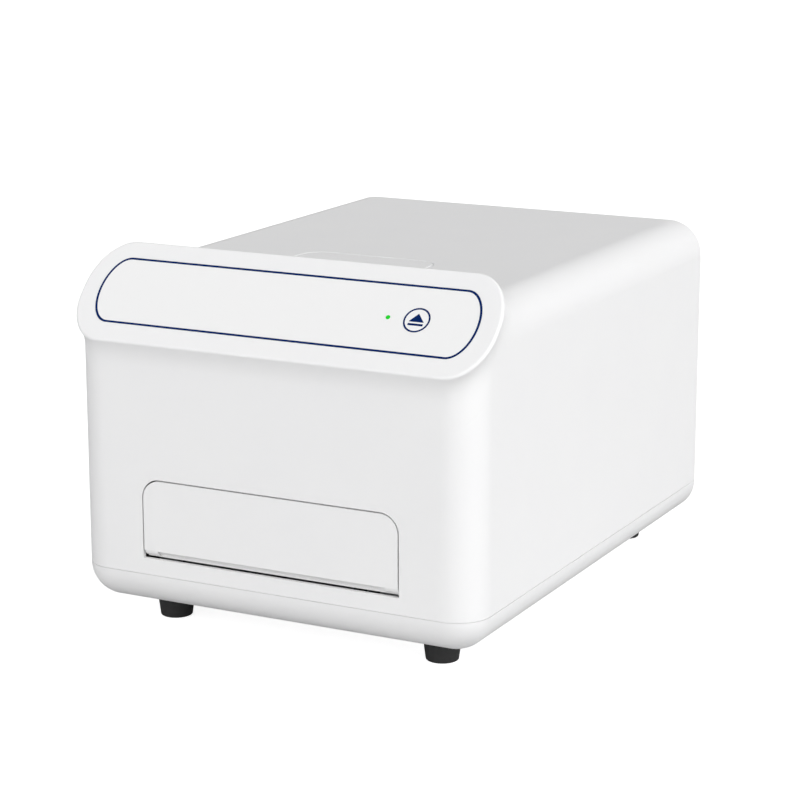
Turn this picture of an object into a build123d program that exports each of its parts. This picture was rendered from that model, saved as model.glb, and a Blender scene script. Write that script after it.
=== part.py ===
from build123d import *
import math
import os

# Benchtop microplate reader. Millimetres, +Z up, front towards -Y.
# The origin is on the bench, midway across the body and midway along its depth.

# ---------------------------------------------------------------------------
# Driving dimensions
# ---------------------------------------------------------------------------

# Enclosure
body_width = 300.0
body_depth = 395.0
roof_height = 244.0
seam_height = 44.0
foot_height = 20.0
wall = 3.0
front_corner_radius = 24.0
roof_edge_radius = 25.0
base_edge_radius = 23.5
rear_edge_radius = 4.0
seam_groove_height = 0.4
seam_groove_depth = 0.9

# Control panel, the tilted face with its flared rim
panel_tilt = 44.0
panel_height = 80.0
panel_overhang = 6.1
panel_reach = 4.75
panel_foot_height = 203.3
panel_end_width = 28.0
panel_end_rise = 38.0
panel_edge_radius = 1.8
flare_radius = 32.0
rim_section_count = 11
rim_back_radius = 15.0
overlay_width = 282.0
overlay_height = 52.0
overlay_end_width = 15.8
overlay_rise = 0.1
overlay_thickness = 0.5
overlay_gap = 0.15

# Eject key and status light, placed from the middle of the overlay
key_radius = 9.3
key_across = 97.5
key_travel = 0.8
key_flange_width = 1.6
key_flange_thickness = 1.0
key_stem_radius = 2.0
key_stem_length = 1.2
key_gap = 0.1
led_radius = 1.5
led_across = 77.1
led_flange_width = 0.4
led_flange_thickness = 1.5
led_proud = 0.3
led_dome_share = 0.8
switch_side = 6.0
switch_corner_radius = 0.5
switch_height = 3.2
keypad_board_width = 84.0
keypad_board_height = 34.0
board_thickness = 1.6
board_corner_radius = 2.0
keypad_boss_radius = 3.2
keypad_boss_inset = 4.5

# Plate door, a flap hinged along its lower edge
door_width = 191.2
door_height = 53.7
door_bottom = 55.9
door_thickness = 3.0
door_corner_radius = 12.6
door_gap = 1.0
door_sill_gap = 0.7
door_pivot_inset = 5.0
door_rib_depth = 1.2
door_rib_thickness = 1.6
door_rib_count = 5
door_knuckle_length = 10.0
hinge_pin_radius = 1.2
hinge_pin_length = 12.0
hinge_block_length = 6.0
hinge_block_flange = 12.0
hinge_block_wall = 4.5

# Service hatch in the roof
hatch_width = 100.0
hatch_front = 92.0
hatch_back = 152.5
hatch_corner_radius = 15.0
hatch_thickness = 2.6
hatch_gap = 0.5
hatch_edge_bevel = 0.7
hatch_ledge_width = 4.0
hatch_ledge_thickness = 2.0
hatch_tab_width = 14.0
hatch_tab_depth = 6.0
hatch_tab_thickness = 1.8

# Feet
foot_top_radius = 13.6
foot_bottom_radius = 11.0
foot_across = 103.0
foot_front = 50.0
foot_back_inset = 28.0
foot_recess_radius = 5.5
foot_recess_depth = 8.0
foot_boss_radius = 7.0

# Fasteners: shank radius, head radius, head height
m4_shank = 2.0
m4_head = 4.0
m4_head_height = 2.6
m3_shank = 1.5
m3_head = 2.9
m3_head_height = 2.0
pan_crown_share = 0.45
foot_screw_length = 20.0
base_screw_length = 30.0
deck_screw_length = 9.0
deck_screw_tip_gap = 1.0
keypad_screw_length = 6.5

# Shared clearances
running_clearance = 0.05
press_clearance = 0.02
seat_clearance = 0.3
screw_clearance = 0.05

# Base bosses that meet the housing columns
column_across = 128.0
column_front = 42.0
column_back_inset = 43.0
column_radius = 5.0
column_height = 26.0
column_rib_thickness = 2.0
base_vent_count = 9
base_vent_pitch = 8.0
base_vent_length = 46.0
base_vent_width = 3.0
base_vent_depth_place = 215.0

# Chassis channel
chassis_width = 236.0
chassis_front = 8.0
chassis_back_gap = 15.0
chassis_thickness = 2.0
chassis_flange = 12.0
chassis_bend_radius = 3.0
chassis_height = 34.0
chassis_window_width = 90.0
chassis_window_length = 60.0

# Optics deck and its posts
deck_height = 120.0
deck_thickness = 3.0
deck_width = 240.0
deck_front = 58.0
deck_back_gap = 9.0
deck_corner_radius = 10.0
post_radius = 5.0
post_stud_length = 8.0
post_across = 104.0
post_places = (80.0, 220.0)
post_back_inset = 50.0

# Plate transport
tray_travel = 220.0
tray_stop_gap = 1.5
plate_length = 127.76
plate_width = 85.48
plate_clearance = 0.4
nest_corner_radius = 2.0
carrier_front = 121.0
carrier_lift = 22.0
carrier_thickness = 9.0
carrier_floor = 3.0
carrier_width = 150.0
carrier_length = 100.0
carrier_corner_radius = 7.0
carrier_window_margin = 7.0
finger_notch_radius = 11.0
tail_gap = 19.0
tail_length = 41.0
tail_width = 168.0
rod_radius = 4.0
rod_across = 84.0
bushing_wall = 2.0
bushing_length = 15.0
bushing_boss_wall = 2.5
rod_support_length = 7.0
rod_support_wall = 3.0
rod_support_foot_width = 26.0
rod_support_foot_height = 5.0
rod_support_back_gap = 7.0

# Belt drive
belt_across = 61.0
belt_width = 6.0
belt_thickness = 1.1
pulley_teeth = 20
belt_pitch = 2.0
pitch_line_offset = 0.25
pulley_tip_gap = 0.12
tooth_depth = 0.7
tooth_gap_width = 1.1
tooth_flank_angle = 80.0
pulley_flange_height = 1.4
pulley_flange_thickness = 0.8
pulley_side_gap = 0.2
pulley_hub_radius = 6.0
pulley_hub_length = 6.0
belt_height = 69.0
idler_clamp_gap = 3.5
idler_hub_length = 1.5
drive_place = 306.0
shaft_radius = 2.5
clamp_width = 14.0
clamp_length = 12.0
clamp_place = 258.0
clamp_gap = 0.3
clamp_jaw = 1.8
motor_side = 42.0
motor_length = 34.0
motor_chamfer = 4.0
motor_cap_length = 7.0
motor_boss_radius = 11.0
motor_boss_height = 2.0
motor_bore_depth = 15.0
bracket_thickness = 2.0
bracket_bend_radius = 1.0
bracket_foot_length = 16.0

# Read head over the plate, detector under it
channel_count = 12
channel_pitch = 9.0
read_line = 138.0
barrel_radius = 3.4
barrel_bottom = 104.0
barrel_length = 26.0
barrel_mouth_radius = 2.4
barrel_mouth_depth = 3.0
manifold_width = 120.0
manifold_depth = 20.0
manifold_height = 15.0
manifold_edge = 1.5
manifold_slot_margin = 2.0
detector_board_width = 108.0
detector_board_depth = 22.0
detector_board_height = 70.0
diode_radius = 2.5
diode_height = 5.0
diode_window_radius = 1.6
diode_window_depth = 0.8
detector_bracket_width = 18.0
detector_bracket_across = 36.0

# Filter wheel, lamp and light guide
optic_height = 165.0
filter_circle_radius = 30.0
filter_count = 8
filter_radius = 6.5
filter_thickness = 3.0
filter_seat_width = 1.2
wheel_radius = 40.0
wheel_thickness = 5.0
wheel_place = 101.0
wheel_hub_radius = 8.0
wheel_hub_length = 9.0
wheel_rim_notch = 2.0
filter_motor_side = 28.0
filter_motor_chamfer = 3.0
filter_motor_length = 26.0
filter_bracket_gap = 1.5
lamp_housing_width = 29.0
lamp_housing_height = 40.0
lamp_housing_front = 44.0
lamp_housing_length = 46.0
lamp_bore_radius = 10.5
lamp_fin_count = 5
lamp_fin_depth = 2.5
lamp_pedestal_width = 20.0
lamp_radius = 5.5
lamp_length = 17.0
lamp_base_width = 13.0
lamp_base_length = 9.0
lamp_base_edge = 1.5
lens_radius = 9.0
lens_thickness = 6.0
lens_dome_height = 3.0
light_guide_radius = 2.0
ferrule_radius = 4.0
ferrule_length = 12.0
ferrule_collar_radius = 5.5
ferrule_collar_length = 2.0
guide_gland_radius = 4.0
guide_gland_height = 5.0
guide_bend_radius = 17.0
guide_bracket_thickness = 3.0
guide_bracket_width = 20.0

# Electronics
main_board_width = 120.0
main_board_length = 138.0
main_board_left = -10.0
main_board_back_gap = 8.0
processor_side = 18.0
chip_width = 9.0
chip_length = 12.0
chip_height = 2.2
chip_pitch_across = 34.0
chip_pitch_along = 40.0
header_length = 15.0
header_width = 6.0
header_height = 8.0
header_pitch = 24.0
header_count = 4
standoff_height = 9.0
standoff_radius = 3.0
standoff_inset = 6.0
supply_width = 70.0
supply_length = 72.0
supply_height = 40.0
supply_left = -96.0
supply_back_gap = 26.0
supply_corner_radius = 1.5
supply_slot_count = 6
supply_slot_length = 49.0
supply_slot_width = 4.0

# Rear panel and what it carries
rear_panel_thickness = 2.0
rear_panel_recess = 1.0
rear_seat_width = 8.0
rear_seat_thickness = 2.5
rear_slot_count = 9
rear_slot_pitch = 7.0
rear_slot_length = 52.0
rear_slot_width = 3.0
rear_slot_across = 78.0
rear_slot_height = 190.0
fan_side = 60.0
fan_depth = 15.0
fan_corner_radius = 4.0
fan_seat_thickness = 2.1
fan_height = 190.0
fan_bore_radius = 28.0
fan_hub_radius = 12.0
fan_blade_count = 7
fan_blade_gap = 0.8
fan_blade_angle = 38.0
fan_blade_thickness = 1.2
fan_hole_pitch = 50.0
fan_strut_width = 3.0
fan_grille_bar = 2.0
fan_ring_width = 4.0
fan_spoke_width = 4.0
inlet_across = -92.0
inlet_height = 88.0
inlet_width = 27.0
inlet_body_height = 20.0
inlet_depth = 24.0
inlet_flange = 2.5
inlet_flange_thickness = 2.0
inlet_flange_corner = 2.0
inlet_mouth_bevel = 3.0
inlet_wall = 1.5
inlet_socket_depth = 16.0
inlet_pin_width = 4.0
inlet_pin_thickness = 2.0
inlet_pin_length = 10.0
inlet_pin_pitch = 7.0
rocker_across = -54.0
rocker_width = 15.0
rocker_length = 21.0
rocker_depth = 16.0
rocker_flange = 1.5
rocker_wall = 1.4
rocker_swing = 20.0
rocker_pivot_radius = 1.2
rocker_proud = 2.4
rocker_heel = 3.6
rocker_waist_inset = 1.0
rocker_bore_inset = 0.5
usb_across = 62.0
usb_width = 12.0
usb_height = 11.0
usb_length = 16.0
usb_wall = 1.2
usb_corner_radius = 0.6
usb_tongue_setback = 5.0
usb_proud = 0.6

# ---------------------------------------------------------------------------
# Levels, lines and planes worked out from the driving dimensions
# ---------------------------------------------------------------------------

half_width = body_width / 2
front_y = -body_depth / 2
back_y = body_depth / 2
inner_front_y = front_y + wall
through = 2.0


def behind(distance):
    """Y of a line that lies this far behind the front face."""
    return front_y + distance


tilt = math.radians(panel_tilt)
tilt_sin = math.sin(tilt)
tilt_cos = math.cos(tilt)
panel_centre_y = front_y - panel_reach + panel_height / 2 * tilt_sin
panel_centre_z = panel_foot_height + panel_height / 2 * tilt_cos
panel_face = Plane(
    origin=(0, panel_centre_y, panel_centre_z),
    x_dir=(1, 0, 0),
    z_dir=(0, -tilt_cos, tilt_sin),
)
overlay_face = panel_face.location * Pos(0, overlay_rise, 0)

door_axis_y = front_y + door_pivot_inset
door_axis_z = door_bottom + door_pivot_inset
door_top = door_bottom + door_height

chassis_back = body_depth - chassis_back_gap
deck_back = body_depth - deck_back_gap
main_board_back = body_depth - main_board_back_gap
supply_front = body_depth - supply_back_gap - supply_length
chassis_top = chassis_height + chassis_thickness
deck_top = deck_height + deck_thickness
carrier_bottom = door_axis_z + carrier_lift
carrier_top = carrier_bottom + carrier_thickness
nest_floor_z = carrier_bottom + carrier_floor
rod_z = (carrier_bottom + carrier_top) / 2
carrier_front_y = behind(carrier_front)
carrier_back_y = carrier_front_y + carrier_length
tail_front_y = carrier_back_y + tail_gap
tail_back_y = tail_front_y + tail_length
rod_front_y = tail_front_y - tray_travel - tray_stop_gap - rod_support_length
rod_back_y = tail_back_y + rod_support_back_gap + rod_support_length
nest_centre_y = carrier_front_y + carrier_length / 2

pitch_radius = pulley_teeth * belt_pitch / (2 * math.pi)
belt_inner_radius = pitch_radius - pitch_line_offset
belt_outer_radius = belt_inner_radius + belt_thickness
pulley_tip_radius = belt_inner_radius - pulley_tip_gap
pulley_flange_radius = belt_inner_radius + pulley_flange_height
drive_y = behind(drive_place)
idler_y = behind(clamp_place) - tray_travel - idler_clamp_gap - pulley_flange_radius

optic_x = filter_circle_radius
read_y = behind(read_line)
wheel_y = behind(wheel_place)
wheel_back_y = wheel_y + wheel_thickness
keypad_board_back = wall + key_flange_thickness + seat_clearance + key_stem_length
keypad_board_back += key_travel + running_clearance + switch_height
keypad_centre_x = (key_across + led_across) / 2

rear_panel_back_y = back_y - rear_panel_recess
rear_panel_front_y = rear_panel_back_y - rear_panel_thickness
rear_seat_front_y = rear_panel_front_y - rear_seat_thickness
column_places = [(side * column_across, behind(place)) for side in (-1, 1)
                 for place in (column_front, body_depth - column_back_inset)]
foot_places = [(side * foot_across, behind(place)) for side in (-1, 1)
               for place in (foot_front, body_depth - foot_back_inset)]
post_positions = [(side * post_across, behind(place)) for side in (-1, 1)
                  for place in (*post_places, body_depth - post_back_inset)]


# ---------------------------------------------------------------------------
# Shared forms
# ---------------------------------------------------------------------------

def block(x_limits, y_limits, z_limits):
    """A straight block between pairs of limits."""
    limits = (x_limits, y_limits, z_limits)
    sizes = [high - low for low, high in limits]
    middles = [(high + low) / 2 for low, high in limits]
    return Pos(*middles) * Box(*sizes)


def bar(radius, start, end):
    """A round bar from one point to another."""
    axis = Vector(*end) - Vector(*start)
    plane = Plane(origin=start, z_dir=axis)
    aligned = (Align.CENTER, Align.CENTER, Align.MIN)
    return plane.location * Cylinder(radius, axis.length, align=aligned)


def tube(outer_radius, inner_radius, start, end):
    """A round tube from one point to another."""
    return bar(outer_radius, start, end) - bar(inner_radius, start, end)


def pan_screw(shank_radius, head_radius, head_height, length):
    """A pan-head screw that points down, with its seat at the origin."""
    head = extrude(Circle(head_radius), head_height)
    head = fillet(head.edges().sort_by(Axis.Z)[-1], head_height * pan_crown_share)
    return head + Pos(0, 0, -length) * extrude(Circle(shank_radius), length)


def at_each(shape, places):
    """Separate copies of one solid, as a group."""
    return Compound(children=[(place * shape).solid() for place in places])


def spread(places, profile):
    """One sketch made of a copy of a profile at each place."""
    return Sketch() + [place * profile for place in places]


def upright(profile, y_start, thickness):
    """A profile drawn in the XZ plane and carried back from y_start."""
    plane = Plane(origin=(0, y_start, 0), x_dir=(1, 0, 0), z_dir=(0, -1, 0))
    return extrude(plane * profile, -thickness)


def sideways(profile, x_start, thickness):
    """A profile drawn in the YZ plane and carried to the right from x_start."""
    plane = Plane(origin=(x_start, 0, 0), x_dir=(0, 1, 0), z_dir=(1, 0, 0))
    return extrude(plane * profile, thickness)


def flat(profile, z_start, thickness):
    """A profile drawn in the XY plane and carried up from z_start."""
    return extrude(Pos(0, 0, z_start) * profile, thickness)


def outline(points, radius_at=None):
    """A face through points, with some corners rounded: {point index: radius}."""
    face = make_face(Polyline(*points, close=True))
    for index, radius in (radius_at or {}).items():
        corner = Vector(*points[index])
        vertex = face.vertices().sort_by_distance(corner)[0]
        face = fillet(vertex, radius)
    return face


# ---------------------------------------------------------------------------
# Enclosure forms
# ---------------------------------------------------------------------------

def plan_outline(inset, rear_inset):
    """Plan of the body, with its two front corners rounded."""
    half = half_width - inset
    front = front_y + inset
    back = back_y - rear_inset
    radius = front_corner_radius - inset
    points = [(-half, front), (half, front), (half, back), (-half, back)]
    return outline(points, {0: radius, 1: radius})


def roof_outline(inset, low):
    """Front view of the upper body from a level up, with its two roof edges rounded."""
    half = half_width - inset
    high = roof_height - inset
    radius = roof_edge_radius - inset
    points = [(-half, low), (half, low), (half, high), (-half, high)]
    return outline(points, {2: radius, 3: radius})


def upper_form(inset, rear_inset, low):
    """The upper body before the control panel is built on its front edge."""
    tall = flat(plan_outline(inset, rear_inset), 0, roof_height)
    long = upright(roof_outline(inset, low), front_y - through, body_depth + 2 * through)
    return tall & long


def flare_depth():
    """Depth below the panel face at which the side flare meets the body side."""
    return math.sqrt(flare_radius ** 2 - (flare_radius - panel_overhang) ** 2)


def side_at(depth):
    """Half width of the rim at a depth below the panel face."""
    rest = max(flare_depth() - depth, 0)
    return half_width + flare_radius - math.sqrt(flare_radius ** 2 - rest ** 2)


def lower_edge_at(depth):
    """Height on the panel plane of the front flare, or of the front face below it."""
    y = panel_centre_y + depth * tilt_cos
    z = panel_centre_z - depth * tilt_sin
    on_front = (front_y - y) / tilt_sin
    sweep = math.acos(1 - panel_reach / flare_radius)
    flare_foot_z = panel_foot_height - flare_radius * math.sin(sweep)
    if z + on_front * tilt_cos < flare_foot_z:
        return on_front
    from_centre_y = y - (front_y - flare_radius)
    from_centre_z = z - flare_foot_z
    middle = from_centre_y * tilt_sin + from_centre_z * tilt_cos
    rest = from_centre_y ** 2 + from_centre_z ** 2 - flare_radius ** 2
    return -middle + math.sqrt(middle ** 2 - rest)


def back_fillet_depth():
    """Depth at which the back of the rim starts to curve into the roof."""
    centre = panel_height / 2 + rim_back_radius
    rise = panel_centre_z + centre * tilt_cos - roof_height - rim_back_radius
    return rise / tilt_sin


def rim_depth():
    """Depth at which the back of the rim has become the roof."""
    return back_fillet_depth() + rim_back_radius * tilt_sin


def upper_edge_at(depth):
    """Height on the panel plane of the back of the rim."""
    start = back_fillet_depth()
    if depth <= start:
        return panel_height / 2
    centre = panel_height / 2 + rim_back_radius
    return centre - math.sqrt(rim_back_radius ** 2 - (depth - start) ** 2)


def eased(depth, full_depth):
    """Share from 0 to 1 that starts and ends smoothly."""
    share = min(depth / full_depth, 1)
    return share * share * (3 - 2 * share)


def rim_section(depth, inset):
    """Section of the rim on a plane parallel to the panel face."""
    half = side_at(depth) - inset
    low = lower_edge_at(depth) + inset / tilt_sin
    high = upper_edge_at(depth) - inset / tilt_cos
    low_share = eased(depth, flare_depth())
    high_share = eased(depth, rim_depth())
    end_x, end_y = panel_end_width, panel_end_rise
    low_x = end_x + (front_corner_radius - end_x) * low_share - inset
    low_y = end_y + (front_corner_radius / tilt_sin - end_y) * low_share - inset / tilt_sin
    high_x = end_x + (roof_edge_radius - end_x) * high_share - inset
    high_y = end_y + (roof_edge_radius / tilt_cos - end_y) * high_share - inset / tilt_cos
    edges = [
        Line((low_x - half, low), (half - low_x, low)),
        EllipticalCenterArc((half - low_x, low + low_y), low_x, low_y, 270, arc_size=90),
        Line((half, low + low_y), (half, high - high_y)),
        EllipticalCenterArc((half - high_x, high - high_y), high_x, high_y, 0, arc_size=90),
        Line((half - high_x, high), (high_x - half, high)),
        EllipticalCenterArc((high_x - half, high - high_y), high_x, high_y, 90, arc_size=90),
        Line((-half, high - high_y), (-half, low + low_y)),
        EllipticalCenterArc((low_x - half, low + low_y), low_x, low_y, 180, arc_size=90),
    ]
    return panel_face.offset(-depth) * make_face(edges)


def rim_form(start_depth, inset):
    """The flared rim, lofted through sections from the panel face down to the body."""
    steps = rim_section_count - 1
    end_depth = rim_depth()
    depths = [start_depth + (end_depth - start_depth) * i / steps for i in range(rim_section_count)]
    return loft([rim_section(depth, inset) for depth in depths])


def shell_form(inset, rear_inset, low):
    """Upper body and rim as one solid: the outside, or with an inset the cavity."""
    cut_face = panel_face.offset(-rim_depth())
    body = split(upper_form(inset, rear_inset, low), bisect_by=cut_face, keep=Keep.BOTTOM)
    return body + rim_form(inset, inset)


def base_form(inset, rear_inset, top):
    """The base body: a plan outline whose lower front and side edges are rolled under."""
    low = foot_height + inset
    pan = flat(plan_outline(inset, rear_inset), low, top - low)
    lower_edges = pan.edges().filter_by_position(Axis.Z, low, low)
    rolled = lower_edges.filter_by_position(Axis.Y, front_y, back_y - rear_inset - through)
    return fillet(rolled, base_edge_radius - inset)


def rounded_at_rear(body, open_side):
    """The body with the edges of its rear face rounded, except at its open side."""
    rear = body.faces().sort_by(Axis.Y)[-1]
    edges = rear.edges()
    open_edge = edges.sort_by(Axis.Z)[open_side]
    return fillet([edge for edge in edges if edge != open_edge], rear_edge_radius)


# ---------------------------------------------------------------------------
# Enclosure pieces
# ---------------------------------------------------------------------------

def upper_housing():
    """Moulded cover: front, sides, roof and the flared rim of the control panel."""
    outside = rounded_at_rear(shell_form(0, 0, seam_height), 0)
    cavity = shell_form(wall, back_y - rear_seat_front_y, seam_height - through)
    cover = outside - cavity - rear_mouth()
    cover = fillet(panel_edges(cover), panel_edge_radius)
    cover = cover + housing_columns() + keypad_bosses() + hatch_ledge()
    cover = cover - door_aperture() - hatch_recess() - overlay_recess()
    return cover - rear_screw_holes()


def panel_edges(cover):
    """The edges that lie in the plane of the panel face."""
    near = press_clearance
    heights = [(edge, (edge.center() - panel_face.origin).dot(panel_face.z_dir)) for edge in cover.edges()]
    return [edge for edge, height in heights if abs(height) < near]


def rear_mouth():
    """Rear opening: the mouth inside the seat rib and the recess for the rear panel."""
    low = seam_height - through
    mouth_outline = roof_outline(wall + rear_seat_width, low)
    mouth = upright(mouth_outline, rear_seat_front_y - through, body_depth)
    recess = upright(roof_outline(wall, low), rear_panel_front_y, body_depth)
    return mouth + recess


def housing_columns():
    """Screw columns that stand on the base bosses, each with a rib to the side wall."""
    top = seam_height + column_height
    columns = []
    for x, y in column_places:
        side = 1 if x > 0 else -1
        rib_x = sorted((x, side * (half_width - wall / 2)))
        rib_y = (y - column_rib_thickness / 2, y + column_rib_thickness / 2)
        column = bar(column_radius, (x, y, seam_height), (x, y, top))
        column += block(rib_x, rib_y, (seam_height, top))
        hole_top = top - column_rib_thickness
        hole = bar(m3_shank + press_clearance, (x, y, seam_height), (x, y, hole_top))
        columns.append(column - hole)
    return Part() + columns


def keypad_places():
    """Middles of the four keypad board screws, from the middle of the overlay."""
    across = keypad_board_width / 2 - keypad_boss_inset
    up = keypad_board_height / 2 - keypad_boss_inset
    return [(keypad_centre_x + i * across, j * up) for i in (-1, 1) for j in (-1, 1)]


def keypad_bosses():
    """Four bosses behind the panel face that carry the keypad board."""
    bosses = []
    for x, y in keypad_places():
        depth = keypad_board_back - wall
        boss = extrude(Circle(keypad_boss_radius), depth + wall / 2)
        hole = extrude(Circle(m3_shank + press_clearance), depth)
        bosses.append(overlay_face * Pos(x, y, -keypad_board_back) * (boss - hole))
    return Part() + bosses


def hatch_outline(grow):
    """Plan of the service hatch, grown by a margin."""
    width = hatch_width + 2 * grow
    length = hatch_back - hatch_front + 2 * grow
    middle = behind((hatch_front + hatch_back) / 2)
    return Pos(0, middle) * RectangleRounded(width, length, hatch_corner_radius + grow)


def hatch_ledge():
    """Ledge under the roof that the hatch rests on."""
    top = roof_height - hatch_thickness
    ledge = flat(hatch_outline(hatch_gap + wall), top - hatch_ledge_thickness, hatch_ledge_thickness)
    return ledge - flat(hatch_outline(-hatch_ledge_width), top - wall, 2 * wall)


def hatch_recess():
    """Opening for the hatch down to its ledge, and the clear way through it."""
    top = roof_height - hatch_thickness
    recess = flat(hatch_outline(hatch_gap), top, hatch_thickness + through)
    way_through = flat(hatch_outline(-hatch_ledge_width), top - 2 * wall, 4 * wall)
    bevel_foot = Plane.XY.offset(roof_height - hatch_edge_bevel) * hatch_outline(hatch_gap)
    bevel_top = Plane.XY.offset(roof_height) * hatch_outline(hatch_gap + hatch_edge_bevel)
    return recess + way_through + loft([bevel_foot, bevel_top])


def door_outline(grow, sill):
    """Front view of the plate door, grown sideways and upwards, and down by sill."""
    half = door_width / 2 + grow
    low = door_bottom - sill
    high = door_top + grow
    radius = door_corner_radius + grow
    points = [(-half, low), (half, low), (half, high), (-half, high)]
    return outline(points, {2: radius, 3: radius})


def door_aperture():
    """Opening in the front wall that the plate door closes."""
    return upright(door_outline(door_gap, door_sill_gap), front_y - through, wall + 2 * through)


def overlay_outline(grow):
    """Outline of the control overlay on the panel face: a band with half-ellipse ends."""
    side = overlay_width / 2 - overlay_end_width
    end, half = overlay_end_width + grow, overlay_height / 2 + grow
    edges = [
        Line((-side, -half), (side, -half)),
        EllipticalCenterArc((side, 0), end, half, 270, arc_size=180),
        Line((side, half), (-side, half)),
        EllipticalCenterArc((-side, 0), end, half, 90, arc_size=180),
    ]
    return make_face(edges)


def overlay_recess():
    """Shallow recess for the overlay, with holes for the key and the status light."""
    recess = extrude(overlay_outline(overlay_gap), overlay_thickness + through)
    recess = Pos(0, 0, -overlay_thickness) * recess
    key_hole = extrude(Pos(key_across, 0) * Circle(key_radius + key_gap), 2 * wall)
    led_hole = extrude(Pos(led_across, 0) * Circle(led_radius + key_gap), 2 * wall)
    return overlay_face * (recess + Pos(0, 0, -1.5 * wall) * (key_hole + led_hole))


def rear_screw_places():
    """X and Z of the screws that hold the rear panel on its seat rib."""
    side_x = half_width - wall - rear_seat_width / 2
    top_z = roof_height - wall - rear_seat_width / 2
    low_z = seam_height + rear_seat_width
    middle_z = (low_z + top_z) / 2
    sides = [(sign * side_x, z) for sign in (-1, 1) for z in (low_z, middle_z)]
    return sides + [(sign * side_x / 2, top_z) for sign in (-1, 1)]


def rear_screw_holes():
    """Pilot holes through the seat rib and through the rear panel."""
    length = rear_seat_thickness + rear_panel_thickness + through
    holes = []
    for x, z in rear_screw_places():
        start = (x, rear_seat_front_y - through, z)
        end = (x, rear_seat_front_y + length, z)
        holes.append(bar(m3_shank + screw_clearance, start, end))
    return Part() + holes


def base_pan():
    """Moulded base with rolled lower edges, bosses, ribs and air slots."""
    outside = rounded_at_rear(base_form(0, 0, seam_height), -1)
    pan = outside - base_form(wall, wall, seam_height + through)
    pan += base_bosses()
    pan -= seam_groove()
    pan -= base_screw_holes()
    return pan - base_vents()


def seam_groove():
    """Shadow groove round the top of the base, under the upper housing."""
    low = seam_height - seam_groove_height
    around = flat(plan_outline(-through, -through), low, seam_groove_height + through)
    kept = flat(plan_outline(seam_groove_depth, seam_groove_depth), low, seam_groove_height)
    return around - kept


def base_bosses():
    """Round bosses that rise from the floor of the base."""
    start = foot_height + wall / 2
    bosses = [bar(column_radius, (x, y, start), (x, y, seam_height)) for x, y in column_places]
    bosses += [bar(foot_boss_radius, (x, y, start), (x, y, chassis_height)) for x, y in foot_places]
    bosses += [bar(column_radius, (x, y, start), (x, y, chassis_height)) for x, y in post_positions]
    return Part() + bosses


def screw_seat_z():
    """Level of the heads of the long screws that hold the base to the housing."""
    return foot_height + wall + m3_head_height


def base_screw_holes():
    """Holes in the base for the housing screws, the foot screws and the post studs."""
    low = foot_height - through
    seat = screw_seat_z()
    holes = []
    for x, y in column_places:
        holes.append(bar(m3_shank + screw_clearance, (x, y, low), (x, y, seam_height)))
        holes.append(bar(m3_head + seat_clearance, (x, y, low), (x, y, seat)))
    for x, y in foot_places:
        holes.append(bar(m4_shank + screw_clearance, (x, y, low), (x, y, chassis_height)))
    for x, y in post_positions:
        stud_foot = chassis_height - post_stud_length
        start = (x, y, stud_foot)
        holes.append(bar(m4_shank + screw_clearance, start, (x, y, chassis_height)))
    return Part() + holes


def base_vents():
    """Row of rounded air slots through the floor of the base."""
    slot = SlotOverall(base_vent_length, base_vent_width, rotation=90)
    row = GridLocations(base_vent_pitch, 0, base_vent_count, 1)
    slots = Pos(0, behind(base_vent_depth_place)) * spread(row, slot)
    return flat(slots, foot_height - through, wall + 2 * through)


def rear_panel():
    """Flat rear panel with air slots, the fan grille and cut-outs for what it carries."""
    low = seam_height + seat_clearance
    panel = upright(roof_outline(wall + seat_clearance, low), rear_panel_front_y, rear_panel_thickness)
    panel -= rear_screw_holes()
    panel -= rear_slots()
    panel -= fan_grille()
    return panel - rear_cutouts()


def through_rear(profile):
    """A profile in the XZ plane, cut right through the rear panel."""
    return upright(profile, rear_panel_front_y - through, rear_panel_thickness + 2 * through)


def rear_slots():
    """Two columns of level air slots beside the fan."""
    slot = SlotOverall(rear_slot_length, rear_slot_width)
    column = GridLocations(0, rear_slot_pitch, 1, rear_slot_count)
    slots = [through_rear(Pos(side * rear_slot_across, rear_slot_height) * spread(column, slot))
             for side in (-1, 1)]
    return Part() + slots


def fan_grille():
    """Ring-shaped slots in front of the fan, parted by four bars, with its screw holes."""
    rings = []
    radius = fan_hub_radius
    while radius + fan_ring_width < fan_bore_radius:
        rings.append(Circle(radius + fan_ring_width) - Circle(radius))
        radius += fan_ring_width + fan_grille_bar
    slots = Sketch() + rings
    for angle in (45, 135):
        slots -= Rot(0, 0, angle) * Rectangle(2 * fan_bore_radius, fan_spoke_width)
    corners = GridLocations(fan_hole_pitch, fan_hole_pitch, 2, 2)
    slots += spread(corners, Circle(m3_shank + screw_clearance))
    return through_rear(Pos(0, fan_height) * slots)


def rear_cutouts():
    """Openings for the power inlet, the rocker switch and the data socket."""
    inlet = Rectangle(inlet_width, inlet_body_height)
    rocker = Rectangle(rocker_width, rocker_length)
    socket = Rectangle(usb_width + 2 * seat_clearance, usb_height + 2 * seat_clearance)
    cuts = through_rear(Pos(inlet_across, inlet_height) * inlet)
    cuts += through_rear(Pos(rocker_across, inlet_height) * rocker)
    return cuts + through_rear(Pos(usb_across, usb_middle_z()) * socket)


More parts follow.
